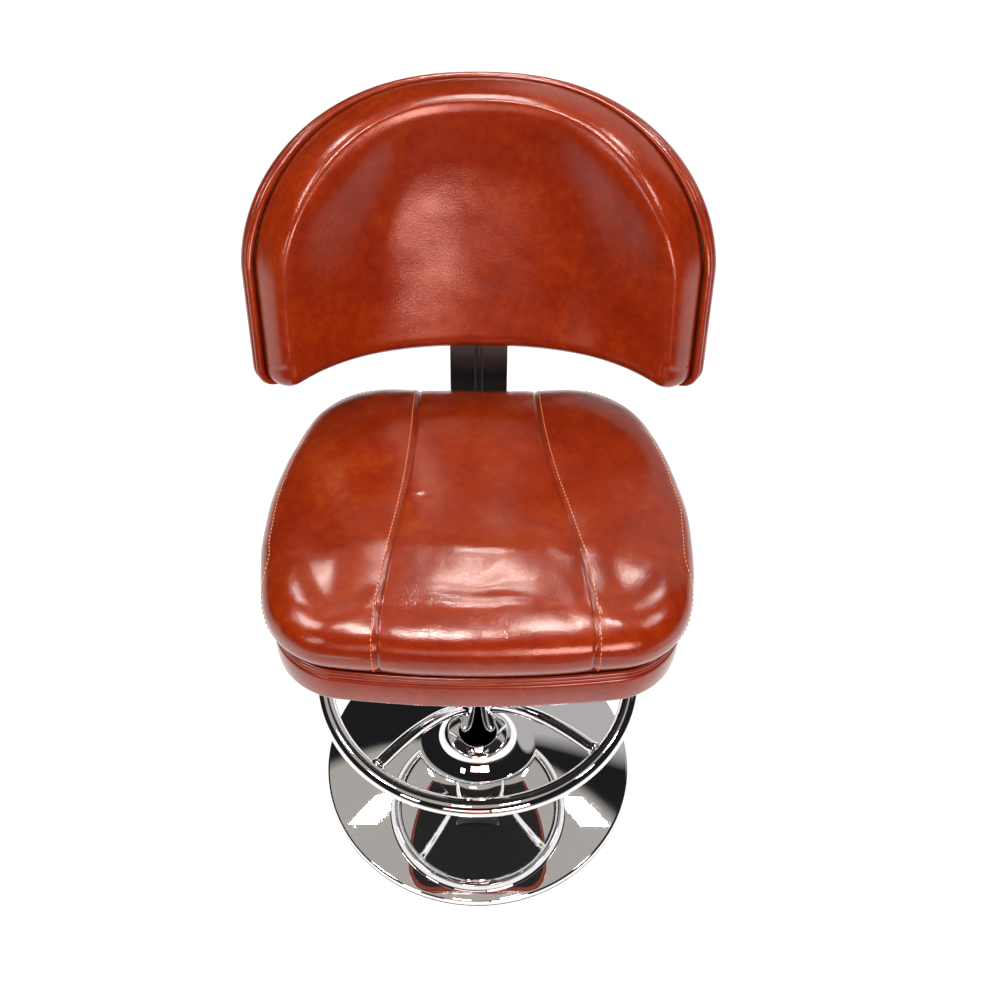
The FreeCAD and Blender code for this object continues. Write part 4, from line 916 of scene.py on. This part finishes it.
def square_rings(count):
    """For each point of a square grid: its share round its ring, and its share in from the edge."""
    span = np.linspace(-1, 1, count)
    b, a = np.meshgrid(span, span, indexing="ij")
    ring = np.maximum(np.abs(a), np.abs(b))
    safe = np.where(ring < 1e-9, 1.0, ring)
    sideways = np.abs(a) >= np.abs(b)
    share = np.select([sideways & (a >= 0), b >= np.abs(a), sideways & (a < 0)],
                      [b / safe / 8, 0.25 - a / safe / 8, 0.5 - b / safe / 8], 0.75 + a / safe / 8)
    return share, 1 - ring


def grid_normals(points):
    """Unit normals of a grid of points, which point away from the pad."""
    normal = np.cross(np.gradient(points, axis=1), np.gradient(points, axis=0))
    return normal / np.maximum(np.linalg.norm(normal, axis=2), 1e-12)[..., None]


share, inward = square_rings(GRID)
skin, profile = cushion_profile()
scale = np.interp(inward, skin, profile[:, 0])
rise = np.interp(inward, skin, profile[:, 1])
outline = loop_at(PLAN, share)
form = np.stack([outline.real * scale, outline.imag * scale, cushion_base + rise], axis=2)
print("cushion grid", form.shape[:2], "top", round(form[..., 2].max(), 4))

# %% [markdown]
# ### Seams and soft forms
# The two long seams start close together at the rear, swing outwards and straighten towards the
# front edge. They don't quite mirror each other, as in the photograph, because covers are sewn by
# hand. The gusset seam runs along each side below the crown and drops to the piping at the front
# corner.

# %% Seam lines
SEAM_REAR_Y = 150 * MM
SEAM_RUN = 365 * MM
SEAM_SIDES = {1: (69 * MM, 49 * MM, 1.15), -1: (72 * MM, 27 * MM, 1.6)}
GUSSET_SCALE = 0.962
GUSSET_RISE = WIDEST_RISE + CROWN_RISE * (1 - GUSSET_SCALE ** FULLNESS) ** (1 / FULLNESS)
GUSSET_DROP_START = math.radians(-24)
GUSSET_DROP_END = math.radians(-47)
GUSSET_FADE = math.radians(4)


def smooth(t):
    """Eases from 0 to 1 as t goes from 0 to 1, and stays flat outside."""
    t = np.clip(t, 0, 1)
    return t * t * (3 - 2 * t)


def bump(value, middle, width):
    """A round hill of height 1."""
    return np.exp(-((value - middle) / width) ** 2)


def seam_x(side, y):
    """Distance of a long seam from the middle, at a place from rear to front."""
    start, swing, ease = SEAM_SIDES[side]
    share = np.clip((SEAM_REAR_Y - y) / SEAM_RUN, 0, 1) ** ease
    return start + swing * smooth(share)


def gusset_height(bearing):
    """Height of the gusset seam above the cushion's base, seen from the middle of the seat."""
    fall = smooth((bearing - GUSSET_DROP_START) / (GUSSET_DROP_END - GUSSET_DROP_START))
    return GUSSET_RISE * (1 - fall)


x, y = form[..., 0], form[..., 1]
bearing = np.arctan2(y, np.abs(x))
off_seam = np.abs(x) - np.where(x >= 0, seam_x(1, y), seam_x(-1, y))
off_gusset = np.where(scale > 0.5, rise - gusset_height(bearing), 1.0)
before_corner = smooth((bearing - GUSSET_DROP_END) / GUSSET_FADE)
print("seam spread", round(float(seam_x(1, -SEAT_FRONT)), 4), round(float(seam_x(-1, -SEAT_FRONT)), 4))

# %% Soft forms
DIP_DEPTH = 2.5 * MM
REAR_HOLLOW = 3.5 * MM
PINCH_DEPTH = 1.1 * MM
UNEVEN_DEPTH = 1.0 * MM
FINE_DEPTH = 0.25 * MM
FRONT_START = math.radians(8)
FRONT_SPAN = math.radians(45)
TOP_FADE = 12 * MM
TUCK_FADE = 5 * MM
SEAM_SHADE_WIDTH = 1.5 * MM
PANEL_MIDDLES = ((0.008, 0.048), (-0.150, 0.055), (0.158, 0.050))


def valley(off, depth, width, pull, reach):
    """A groove along a seam, and the slope of the leather that the thread pulls down with it."""
    return depth * bump(off, 0, width) + pull * np.exp(-np.abs(off) / reach)


# Ripples follow the outline. On the side panels they lie further out than in the middle.
uneven = wobbles(x + 1j * y, 0.055, 5.0)
fine_uneven = wobbles(x + 1j * y, 0.018, 12.0)
shifted = scale + 0.025 * uneven - 0.10 * smooth((np.abs(x) - 0.09) / 0.06)
on_panels = 0.2 + 0.8 * sum(bump(x, middle, width) for middle, width in PANEL_MIDDLES)
ripple = (3.6 * bump(shifted, 0.52, 0.085) - 2.8 * bump(shifted, 0.70, 0.060)) * on_panels
ripple += 1.3 * bump(shifted, 0.80, 0.055)
facing_front = smooth((-bearing - FRONT_START) / FRONT_SPAN)
ripple *= MM * facing_front * (0.75 + 0.5 * uneven)

# The seat dips under the sitter, hollows at the rear and has one small pinch beside a seam.
on_top = smooth((scale < 0.999) * (rise - WIDEST_RISE) / TOP_FADE)
dip = DIP_DEPTH * bump(x, 0, 0.13) * bump(y, 0.015, 0.085)
hollow = REAR_HOLLOW * bump(x, 0, 0.075) * smooth((y - 0.09) / 0.06)
pinch = PINCH_DEPTH * bump(x, -0.058, 0.009) * bump(y, -0.037, 0.0045)
push = on_top * (ripple - dip - hollow + UNEVEN_DEPTH * uneven + FINE_DEPTH * fine_uneven) - pinch

# The long seams pull the leather down, and so does the gusset seam where it ends at the front
# corner. Along the sides only its stitches show. Tucked under at the base, the leather lies flat.
gusset_on = smooth((np.abs(x) - 0.11) / 0.04) * (1 - before_corner)
long_seam = valley(off_seam, depth=1.7 * MM, width=1.5 * MM, pull=1.8 * MM, reach=17 * MM)
side_seam = valley(off_gusset, depth=1.2 * MM, width=1.6 * MM, pull=0.9 * MM, reach=9 * MM)
push -= (long_seam + gusset_on * side_seam) * smooth(rise / TUCK_FADE)
cushion_grid = form + grid_normals(form) * push[..., None]
# The seam value darkens the dye along the seams, and paints shade into the crease in the lowest few
# millimetres, where the cushion tucks in above the piping.
shade = bump(off_seam, 0, SEAM_SHADE_WIDTH) + gusset_on * 0.8 * bump(off_gusset, 0, SEAM_SHADE_WIDTH)
seam_dye_and_crease_shade = np.maximum(np.clip(shade, 0, 1), 1 - smooth((rise - 0.5 * MM) / (2.5 * MM)))
print("push from", round(float(push.min()), 4), "to", round(float(push.max()), 4))


# %% Cushion mesh
def boundary_loop(count):
    """Indices round the edge of a square grid."""
    last = count - 1
    loop = list(range(count))
    loop += [i * count + last for i in range(1, count)]
    loop += [last * count + j for j in range(last - 1, -1, -1)]
    loop += [i * count for i in range(last - 1, 0, -1)]
    return loop


def set_seam(piece, values):
    """Stores the seam value that the leather reads: darker dye along the seams and painted shade in the
    creases.
    """
    attribute = piece.data.attributes.new("seam", "FLOAT", "POINT")
    attribute.data.foreach_set("value", np.asarray(values, np.float32).ravel())


underside = (0.0, 0.0, cushion_base + EDGE_RISE)
cushion_points = [*cushion_grid.reshape(-1, 3), underside]
loop = boundary_loop(GRID)
cushion_faces = grid_faces(GRID, GRID)
cushion_faces += [(start, end, GRID * GRID) for start, end in zip(loop, loop[1:] + loop[:1])]
cushion = add_piece("seat_cushion", cushion_points, cushion_faces, leather, "seat", "leather")
# The middle of the underside takes the full seam value, so the hidden underside is painted in the dark shade
# colour too.
set_seam(cushion, np.append(seam_dye_and_crease_shade.ravel(), 1.0))
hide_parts("seat_cover", "seat_foam")
print("cushion points", len(cushion_points))

# %% [markdown]
# ### Stitches
# Beside each seam runs one row of topstitching. A stitch is a short bead of thread that rises out of
# one hole and dives into the next, so each is a small tapered tube, laid along a path on the skin.

# %% Stitch rows
STITCH = 3.6 * MM
STITCH_GAP = 1.7 * MM
STITCH_SLANT = 0.07
THREAD_RADIUS = 0.55 * MM
THREAD_SIDES = 6
BEAD = ((0.0, 0.35, -0.5), (0.12, 0.85, 0.25), (0.5, 1.0, 0.6), (0.88, 0.85, 0.25), (1.0, 0.35, -0.5))
SEAM_OFFSET = 5.0 * MM
GUSSET_OFFSET = 3.6 * MM
LOWEST_STITCH = 3 * MM
OUTSIDE = 0.5
cushion_tree = BVHTree.FromPolygons([Vector(p) for p in cushion_points], cushion_faces)


def walk(path, normals):
    """Places, directions and normals of the stitches along a path."""
    run = run_along(path)
    marks = np.arange(0, run[-1], STITCH + STITCH_GAP)
    place, up = (np.stack([np.interp(marks, run, row) for row in np.transpose(rows)], axis=1)
                 for rows in (path, normals))
    up /= np.linalg.norm(up, axis=1)[:, None]
    along = np.gradient(place, axis=0)
    along /= np.linalg.norm(along, axis=1)[:, None]
    return zip(place, along, up)


def stitch(place, along, up):
    """One bead of thread, from rings of (share of its length, girth, lift)."""
    aside = np.cross(along, up)
    slant = along + STITCH_SLANT * aside
    points = []
    for share, girth, lift in BEAD:
        middle = place + slant * STITCH * share + up * THREAD_RADIUS * lift
        for a in np.linspace(0, 2 * np.pi, THREAD_SIDES, endpoint=False):
            points.append(middle + THREAD_RADIUS * girth * (math.cos(a) * aside + math.sin(a) * up))
    return points, capped_faces(len(BEAD), THREAD_SIDES)


def dropped(place, aim):
    """The point and normal where a ray from outside meets the cushion."""
    hit, normal = cushion_tree.ray_cast(Vector(place), Vector(aim).normalized())[:2]
    if hit is None:
        return None
    if normal.dot(Vector(aim)) > 0:
        normal = -normal
    return np.array(hit), np.array(normal)


def found(hits):
    """The points and the normals of the rays that met the cushion."""
    return zip(*(hit for hit in hits if hit is not None))


def seam_path(side):
    """A line beside a long seam: over the top, and down the front face to the piping."""
    hits = []
    for y_place in np.linspace(SEAT_REAR * 0.97, -SEAT_FRONT * 0.93, 150):
        across = side * (float(seam_x(side, y_place)) + SEAM_OFFSET)
        hits.append(dropped((across, y_place, 0.9), (0, 0, -1)))
    front_x = side * (float(seam_x(side, -SEAT_FRONT)) + SEAM_OFFSET)
    high = hits[-1][0][2]
    for z in np.linspace(high, cushion_base + LOWEST_STITCH, 40)[1:]:
        hits.append(dropped((front_x, -OUTSIDE, z), (0, 1, 0)))
    return found(hits)


def gusset_path(side):
    """A line beside the gusset seam, from the rear corner along the side and down at the front."""
    hits = []
    for angle in np.linspace(math.radians(52), GUSSET_DROP_END, 160):
        z = cushion_base + max(float(gusset_height(angle)) + GUSSET_OFFSET, LOWEST_STITCH)
        out = Vector((side * math.cos(angle), math.sin(angle), 0))
        hits.append(dropped((out.x * OUTSIDE, out.y * OUTSIDE, z), -out))
    return found(hits)


rows = [trace(side) for trace in (seam_path, gusset_path) for side in (-1, 1)]
stitches = [stitch(*spot) for row in rows for spot in walk(*row)]
add_piece("seat_stitches", *joined(stitches), thread, "seat", "leather")
print("seat stitches", len(stitches))

# %% [markdown]
# ## The wrapped back
# The back is drawn on a leaning cylinder: a distance round it, a height up it, and a thickness
# towards the sitter. Its outline is a half moon with a hollow lower edge. Three pieces share that
# outline: the padded rear panel, a piping cord, and the front cushion with its thick rolled border.

# %% Back outline
RECLINE = math.radians(13)
BACK_PLACE = Vector((0, 204 * MM, 648 * MM))
WRAP_RADIUS = 380 * MM
BACK_HALF = math.radians(40.8) * WRAP_RADIUS
BACK_TOP = 288 * MM
BACK_SHOULDER = 100 * MM
BACK_BOTTOM = -19 * MM
CORNER_DROP = 26 * MM
CORNER_ROUND = 30 * MM
ARCH_SIDE = 2.4
ARCH_TOP = 1.7
BACK_MIDDLE = complex(0, 110 * MM)


def top_edge(share):
    arch = np.maximum(0, 1 - np.abs(share) ** ARCH_SIDE) ** (1 / ARCH_TOP)
    return BACK_SHOULDER + (BACK_TOP - BACK_SHOULDER) * arch


def bottom_edge(share):
    into = np.maximum(0, np.abs(share) * BACK_HALF - (BACK_HALF - CORNER_ROUND)) / CORNER_ROUND
    lift = CORNER_ROUND * (1 - np.sqrt(np.maximum(0, 1 - into ** 2)))
    return BACK_BOTTOM - CORNER_DROP * share ** 4 + lift


def back_quarters():
    """The half moon's edge in four quarters, anticlockwise from the right side."""
    spread = np.sin(np.linspace(-np.pi / 2, np.pi / 2, 801))
    over = spread[::-1] * BACK_HALF + 1j * top_edge(spread[::-1])
    under = spread * BACK_HALF + 1j * bottom_edge(spread)
    side_low = float(bottom_edge(np.array(1.0)))
    side_middle = complex(BACK_HALF, (BACK_SHOULDER + side_low) / 2)
    left_middle = complex(-BACK_HALF, side_middle.imag)
    half = len(over) // 2
    return [np.concatenate([[side_middle], over[:half + 1]]), np.concatenate([over[half:], [left_middle]]),
            np.concatenate([[left_middle], under[:half + 1]]), np.concatenate([under[half:], [side_middle]])]


BACK_LOOP = even_loop(back_quarters())


def wrapped(flat, radius):
    """Places on the leaning cylinder: complex distance round and height, and a radius."""
    angle = flat.real / WRAP_RADIUS
    ahead = radius * np.cos(angle) - WRAP_RADIUS
    across = radius * np.sin(angle)
    tall = flat.imag
    return np.stack([across, BACK_PLACE.y + ahead * math.cos(RECLINE) + tall * math.sin(RECLINE),
                     BACK_PLACE.z - ahead * math.sin(RECLINE) + tall * math.cos(RECLINE)], axis=-1)


print("back outline", round(2 * BACK_HALF, 4), "round,", round(BACK_TOP - BACK_BOTTOM, 4), "tall")

# %% Distances to the edge
BACK_GRID = 221
EDGE_CROWD = 1.7
back_share, back_inward = square_rings(BACK_GRID)
back_scale = 1 - back_inward ** EDGE_CROWD
flat = BACK_MIDDLE + (loop_at(BACK_LOOP, back_share) - BACK_MIDDLE) * back_scale


def nearest(flat_points, line):
    """Least distance from each point to a line of joined points."""
    least = np.full(flat_points.shape, 1.0)
    for start, end in zip(line, line[1:]):
        step = end - start
        share = np.clip(((flat_points - start) * np.conj(step)).real / abs(step) ** 2, 0, 1)
        least = np.minimum(least, np.abs(flat_points - start - share * step))
    return least


def edge_part(start, low):
    """The rim or the lower edge, as one unbroken line."""
    line = loop_at(BACK_LOOP, np.linspace(start, start + 1, 600))
    is_low = line.imag < np.interp(np.abs(line.real), [0, BACK_HALF], [0.0, -8 * MM])
    return line[is_low == low]


from_rim = nearest(flat, edge_part(-0.25, False))
from_low = nearest(flat, edge_part(0.25, True))
from_edge = np.minimum(from_rim, from_low)
on_edge = back_scale > 1 - 1e-9
across_share = np.clip(np.abs(flat.real) / BACK_HALF, 0, 1)
back_uneven = wobbles(flat, 0.06, 21.0)
back_fine = wobbles(flat, 0.02, 31.0)
print("distance to rim up to", round(float(from_rim.max()), 4))

# %% [markdown]
# ### The front cushion
# The border is a roll about as thick as a wrist, and the middle is dished for the sitter's back. The
# roll's crest is an arch of its own: it runs close under the rim at the top, drops away from it on
# the shoulders and meets it again where the arch turns into the straight side, in a pinched corner.
# Outside the crest the leather falls to the rim in a bevel, and inside it sinks into the dish. The
# cushion is a little smaller than the rear panel, so the piping and the panel's edge show round it.

# %% Front cushion
ROLL = 52 * MM
DISH = 32 * MM
DISH_SIDE = ROLL - 6 * MM
CREST_HALF = 259 * MM
CREST_END = 142 * MM
CREST_TOP = 268 * MM
CREST_SIDE = 2.8
CREST_EASE = 1.3
CREST_ROUND = 24 * MM
CREST_FALL = 28 * MM
SHOULDER_FALL = 26 * MM
SIDE_THINNING = 0.25
BEVEL_FALL = 0.28
RIM_WIDTH = 14 * MM
LOW_WIDTH = 25 * MM
FADE_WIDTH = 40 * MM
BACK_UNEVEN = 0.7 * MM
BACK_FINE = 0.15 * MM
EDGE_SHADE = 2.5 * MM
SIDE_SHARE = 0.976
TALL_SHARE = 0.988
REAR_PLANE = WRAP_RADIUS - GAP


def round_edge(distance, width, power):
    """Rises from 0 at the edge to 1 at `width`, like the quarter of a rounded square."""
    inside = np.clip(1 - distance / width, 0, 1)
    return (1 - inside ** power) ** (1 / power)


def crest_height(share):
    """Height of the roll's crest, at a share of the way from the middle to its end."""
    return CREST_END + (CREST_TOP - CREST_END) * (1 - np.abs(share) ** CREST_SIDE) ** CREST_EASE


def add_shell(name, first, second):
    """A closed leather skin of two grids that meet at their edges."""
    faces = grid_faces(BACK_GRID, BACK_GRID)
    faces += [face[::-1] for face in grid_faces(BACK_GRID, BACK_GRID, start=BACK_GRID ** 2)]
    points = np.concatenate([first.reshape(-1, 3), second.reshape(-1, 3)])
    return add_piece(name, points, faces, leather, "seat", "leather", merge=1e-6)


# Thickness: the dish, the roll that stands up to its crest, and the bevel outside the crest.
dish = DISH + (DISH_SIDE - DISH) * across_share ** 4
crest_x = np.linspace(-1, 1, 160)
from_crest = nearest(flat, crest_x * CREST_HALF + 1j * crest_height(crest_x))
outside = flat.imag > crest_height(np.clip(flat.real / CREST_HALF, -1, 1))
fall_length = CREST_FALL + SHOULDER_FALL * smooth((across_share - 0.35) / 0.35)
slope = np.exp(-(np.hypot(from_crest, CREST_ROUND) - CREST_ROUND) / fall_length)
thick = dish + (ROLL - dish) * np.where(outside, 1.0, slope)
thick = thick * (1 - SIDE_THINNING * across_share ** 14)
bevel = np.where(outside, from_crest / (from_crest + from_rim + 1e-6), 0.0)
edges = round_edge(from_rim, RIM_WIDTH, 2.4) * (1 - BEVEL_FALL * bevel ** 3)
edges = np.minimum(edges, round_edge(from_low, LOW_WIDTH, 2.6))
inner = round_edge(from_edge, FADE_WIDTH, 2.0)
depth = np.maximum(0, thick + inner * (BACK_UNEVEN * back_uneven + BACK_FINE * back_fine)) * edges
depth[on_edge] = 0.0

inset_flat = flat.real * SIDE_SHARE + 1j * (BACK_MIDDLE.imag + (flat.imag - BACK_MIDDLE.imag) * TALL_SHARE)
front = wrapped(inset_flat, REAR_PLANE - depth)
back_cushion = add_shell("back_cushion", front, wrapped(inset_flat, REAR_PLANE))
# Painted shade: the leather darkens where the cushion thins to nothing at its edge, in the groove beside the
# piping.
edge_shade = (1 - smooth(depth / EDGE_SHADE)).ravel()
places = KDTree(front[..., 0].size)
for index, place in enumerate(front.reshape(-1, 3)):
    places.insert(place, index)
places.balance()
set_seam(back_cushion, [edge_shade[places.find(v.co)[1]] for v in back_cushion.data.vertices])
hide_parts("back_cover", "back_foam")
print("back cushion depth", round(float(depth.max()), 4))

# %% [markdown]
# ### Rear panel and piping
# The rear panel is a padded skin with a full rounded edge, pressed in a little under the back bar.
# One piping cord lies in the groove between it and the front cushion. Both follow the same half moon.

# %% Rear panel
PANEL_FRONT = WRAP_RADIUS + 10.3 * MM
PANEL_THICK = 20 * MM
PANEL_EDGE = 13 * MM
PANEL_THINNING = 0.36
PANEL_UNEVEN = 0.5 * MM
BAR_HALF = 36 * MM
BAR_MARGIN = 6 * MM
BAR_FADE = 8 * MM
BAR_TOP = 162 * MM
BAR_PRESS = 0.3 * MM
padding = PANEL_THICK * (1 - PANEL_THINNING * across_share ** 12) * round_edge(from_edge, PANEL_EDGE, 3.2)
under_bar = smooth((BAR_HALF + BAR_MARGIN - np.abs(flat.real)) / BAR_FADE) * (flat.imag < BAR_TOP)
panel_depth = padding - PANEL_UNEVEN * (1 + back_uneven) * inner - BAR_PRESS * under_bar
panel_depth[on_edge] = 0.0
panel_rear = wrapped(flat, PANEL_FRONT + np.maximum(panel_depth, 0))
rear_panel = add_shell("back_rear_leather", panel_rear, wrapped(flat, PANEL_FRONT))
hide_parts("back_rear_panel")

# %% Back piping
PIPING_RADIUS = 4.5 * MM
PIPING_SIDES = 16
PIPING_INSET = 2.2 * MM
PIPING_SIDE = 0.8 * MM
PIPING_PLANE = WRAP_RADIUS + 5 * MM
loop = loop_at(BACK_LOOP, np.linspace(0, 1, 900, endpoint=False))
toward = loop - BACK_MIDDLE
inset = PIPING_INSET + PIPING_SIDE * (np.abs(loop.real) / BACK_HALF) ** 3
piping_path = wrapped(loop - toward / np.abs(toward) * inset, PIPING_PLANE)
cord = covered_cord(piping_path, PIPING_RADIUS, PIPING_SIDES, 0.03, 0.008, 40.0)
back_piping = add_piece("back_piping", *cord, piping_leather, "seat", "leather")
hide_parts("back_welt")
print("back piping length", round(run_along(piping_path)[-1], 3))

# %% [markdown]
# ## Under the seat
# A black lining is stapled under the seat round the mounting plate. It is a thin cloth that hangs
# by a millimetre or two between its staples, drawn as rings from the plate out to the band.

# %% Lining
LINING_LEVEL = 469.45 * MM
LINING_SAG = 1.6 * MM
LINING_THICK = 0.5 * MM
PLATE_HALF = 80.4 * MM
LINING_INSET = 7 * MM
LINING_ROWS = 16
LINING_COLUMNS = 320
ring_share = np.arange(LINING_COLUMNS) / LINING_COLUMNS
outer_line = loop_at(PLAN, ring_share) * (BAND_SCALE - BAND_TUCK)
outer_line = outer_line * (1 - LINING_INSET / np.abs(outer_line))
angle = np.angle(outer_line)
inner_line = PLATE_HALF / np.maximum(np.abs(np.cos(angle)), np.abs(np.sin(angle))) * np.exp(1j * angle)
lining_points = []
for t in np.linspace(0, 1, LINING_ROWS):
    for c in inner_line * (1 - t) + outer_line * t:
        sag = LINING_SAG * math.sin(math.pi * t) * (1 + 0.5 * wobble(c.real, c.imag, 0, 0.05, 8.0))
        lining_points.append((c.real, c.imag, LINING_LEVEL - sag))
lining_faces = grid_faces(LINING_ROWS, LINING_COLUMNS, wrap_columns=True)
lining_sheet = add_piece("seat_lining", lining_points, lining_faces, lining, "seat", "lining")
thickness = lining_sheet.modifiers.new("thickness", "SOLIDIFY")
thickness.thickness = LINING_THICK
thickness.offset = 0.0
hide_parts("dust_cover")
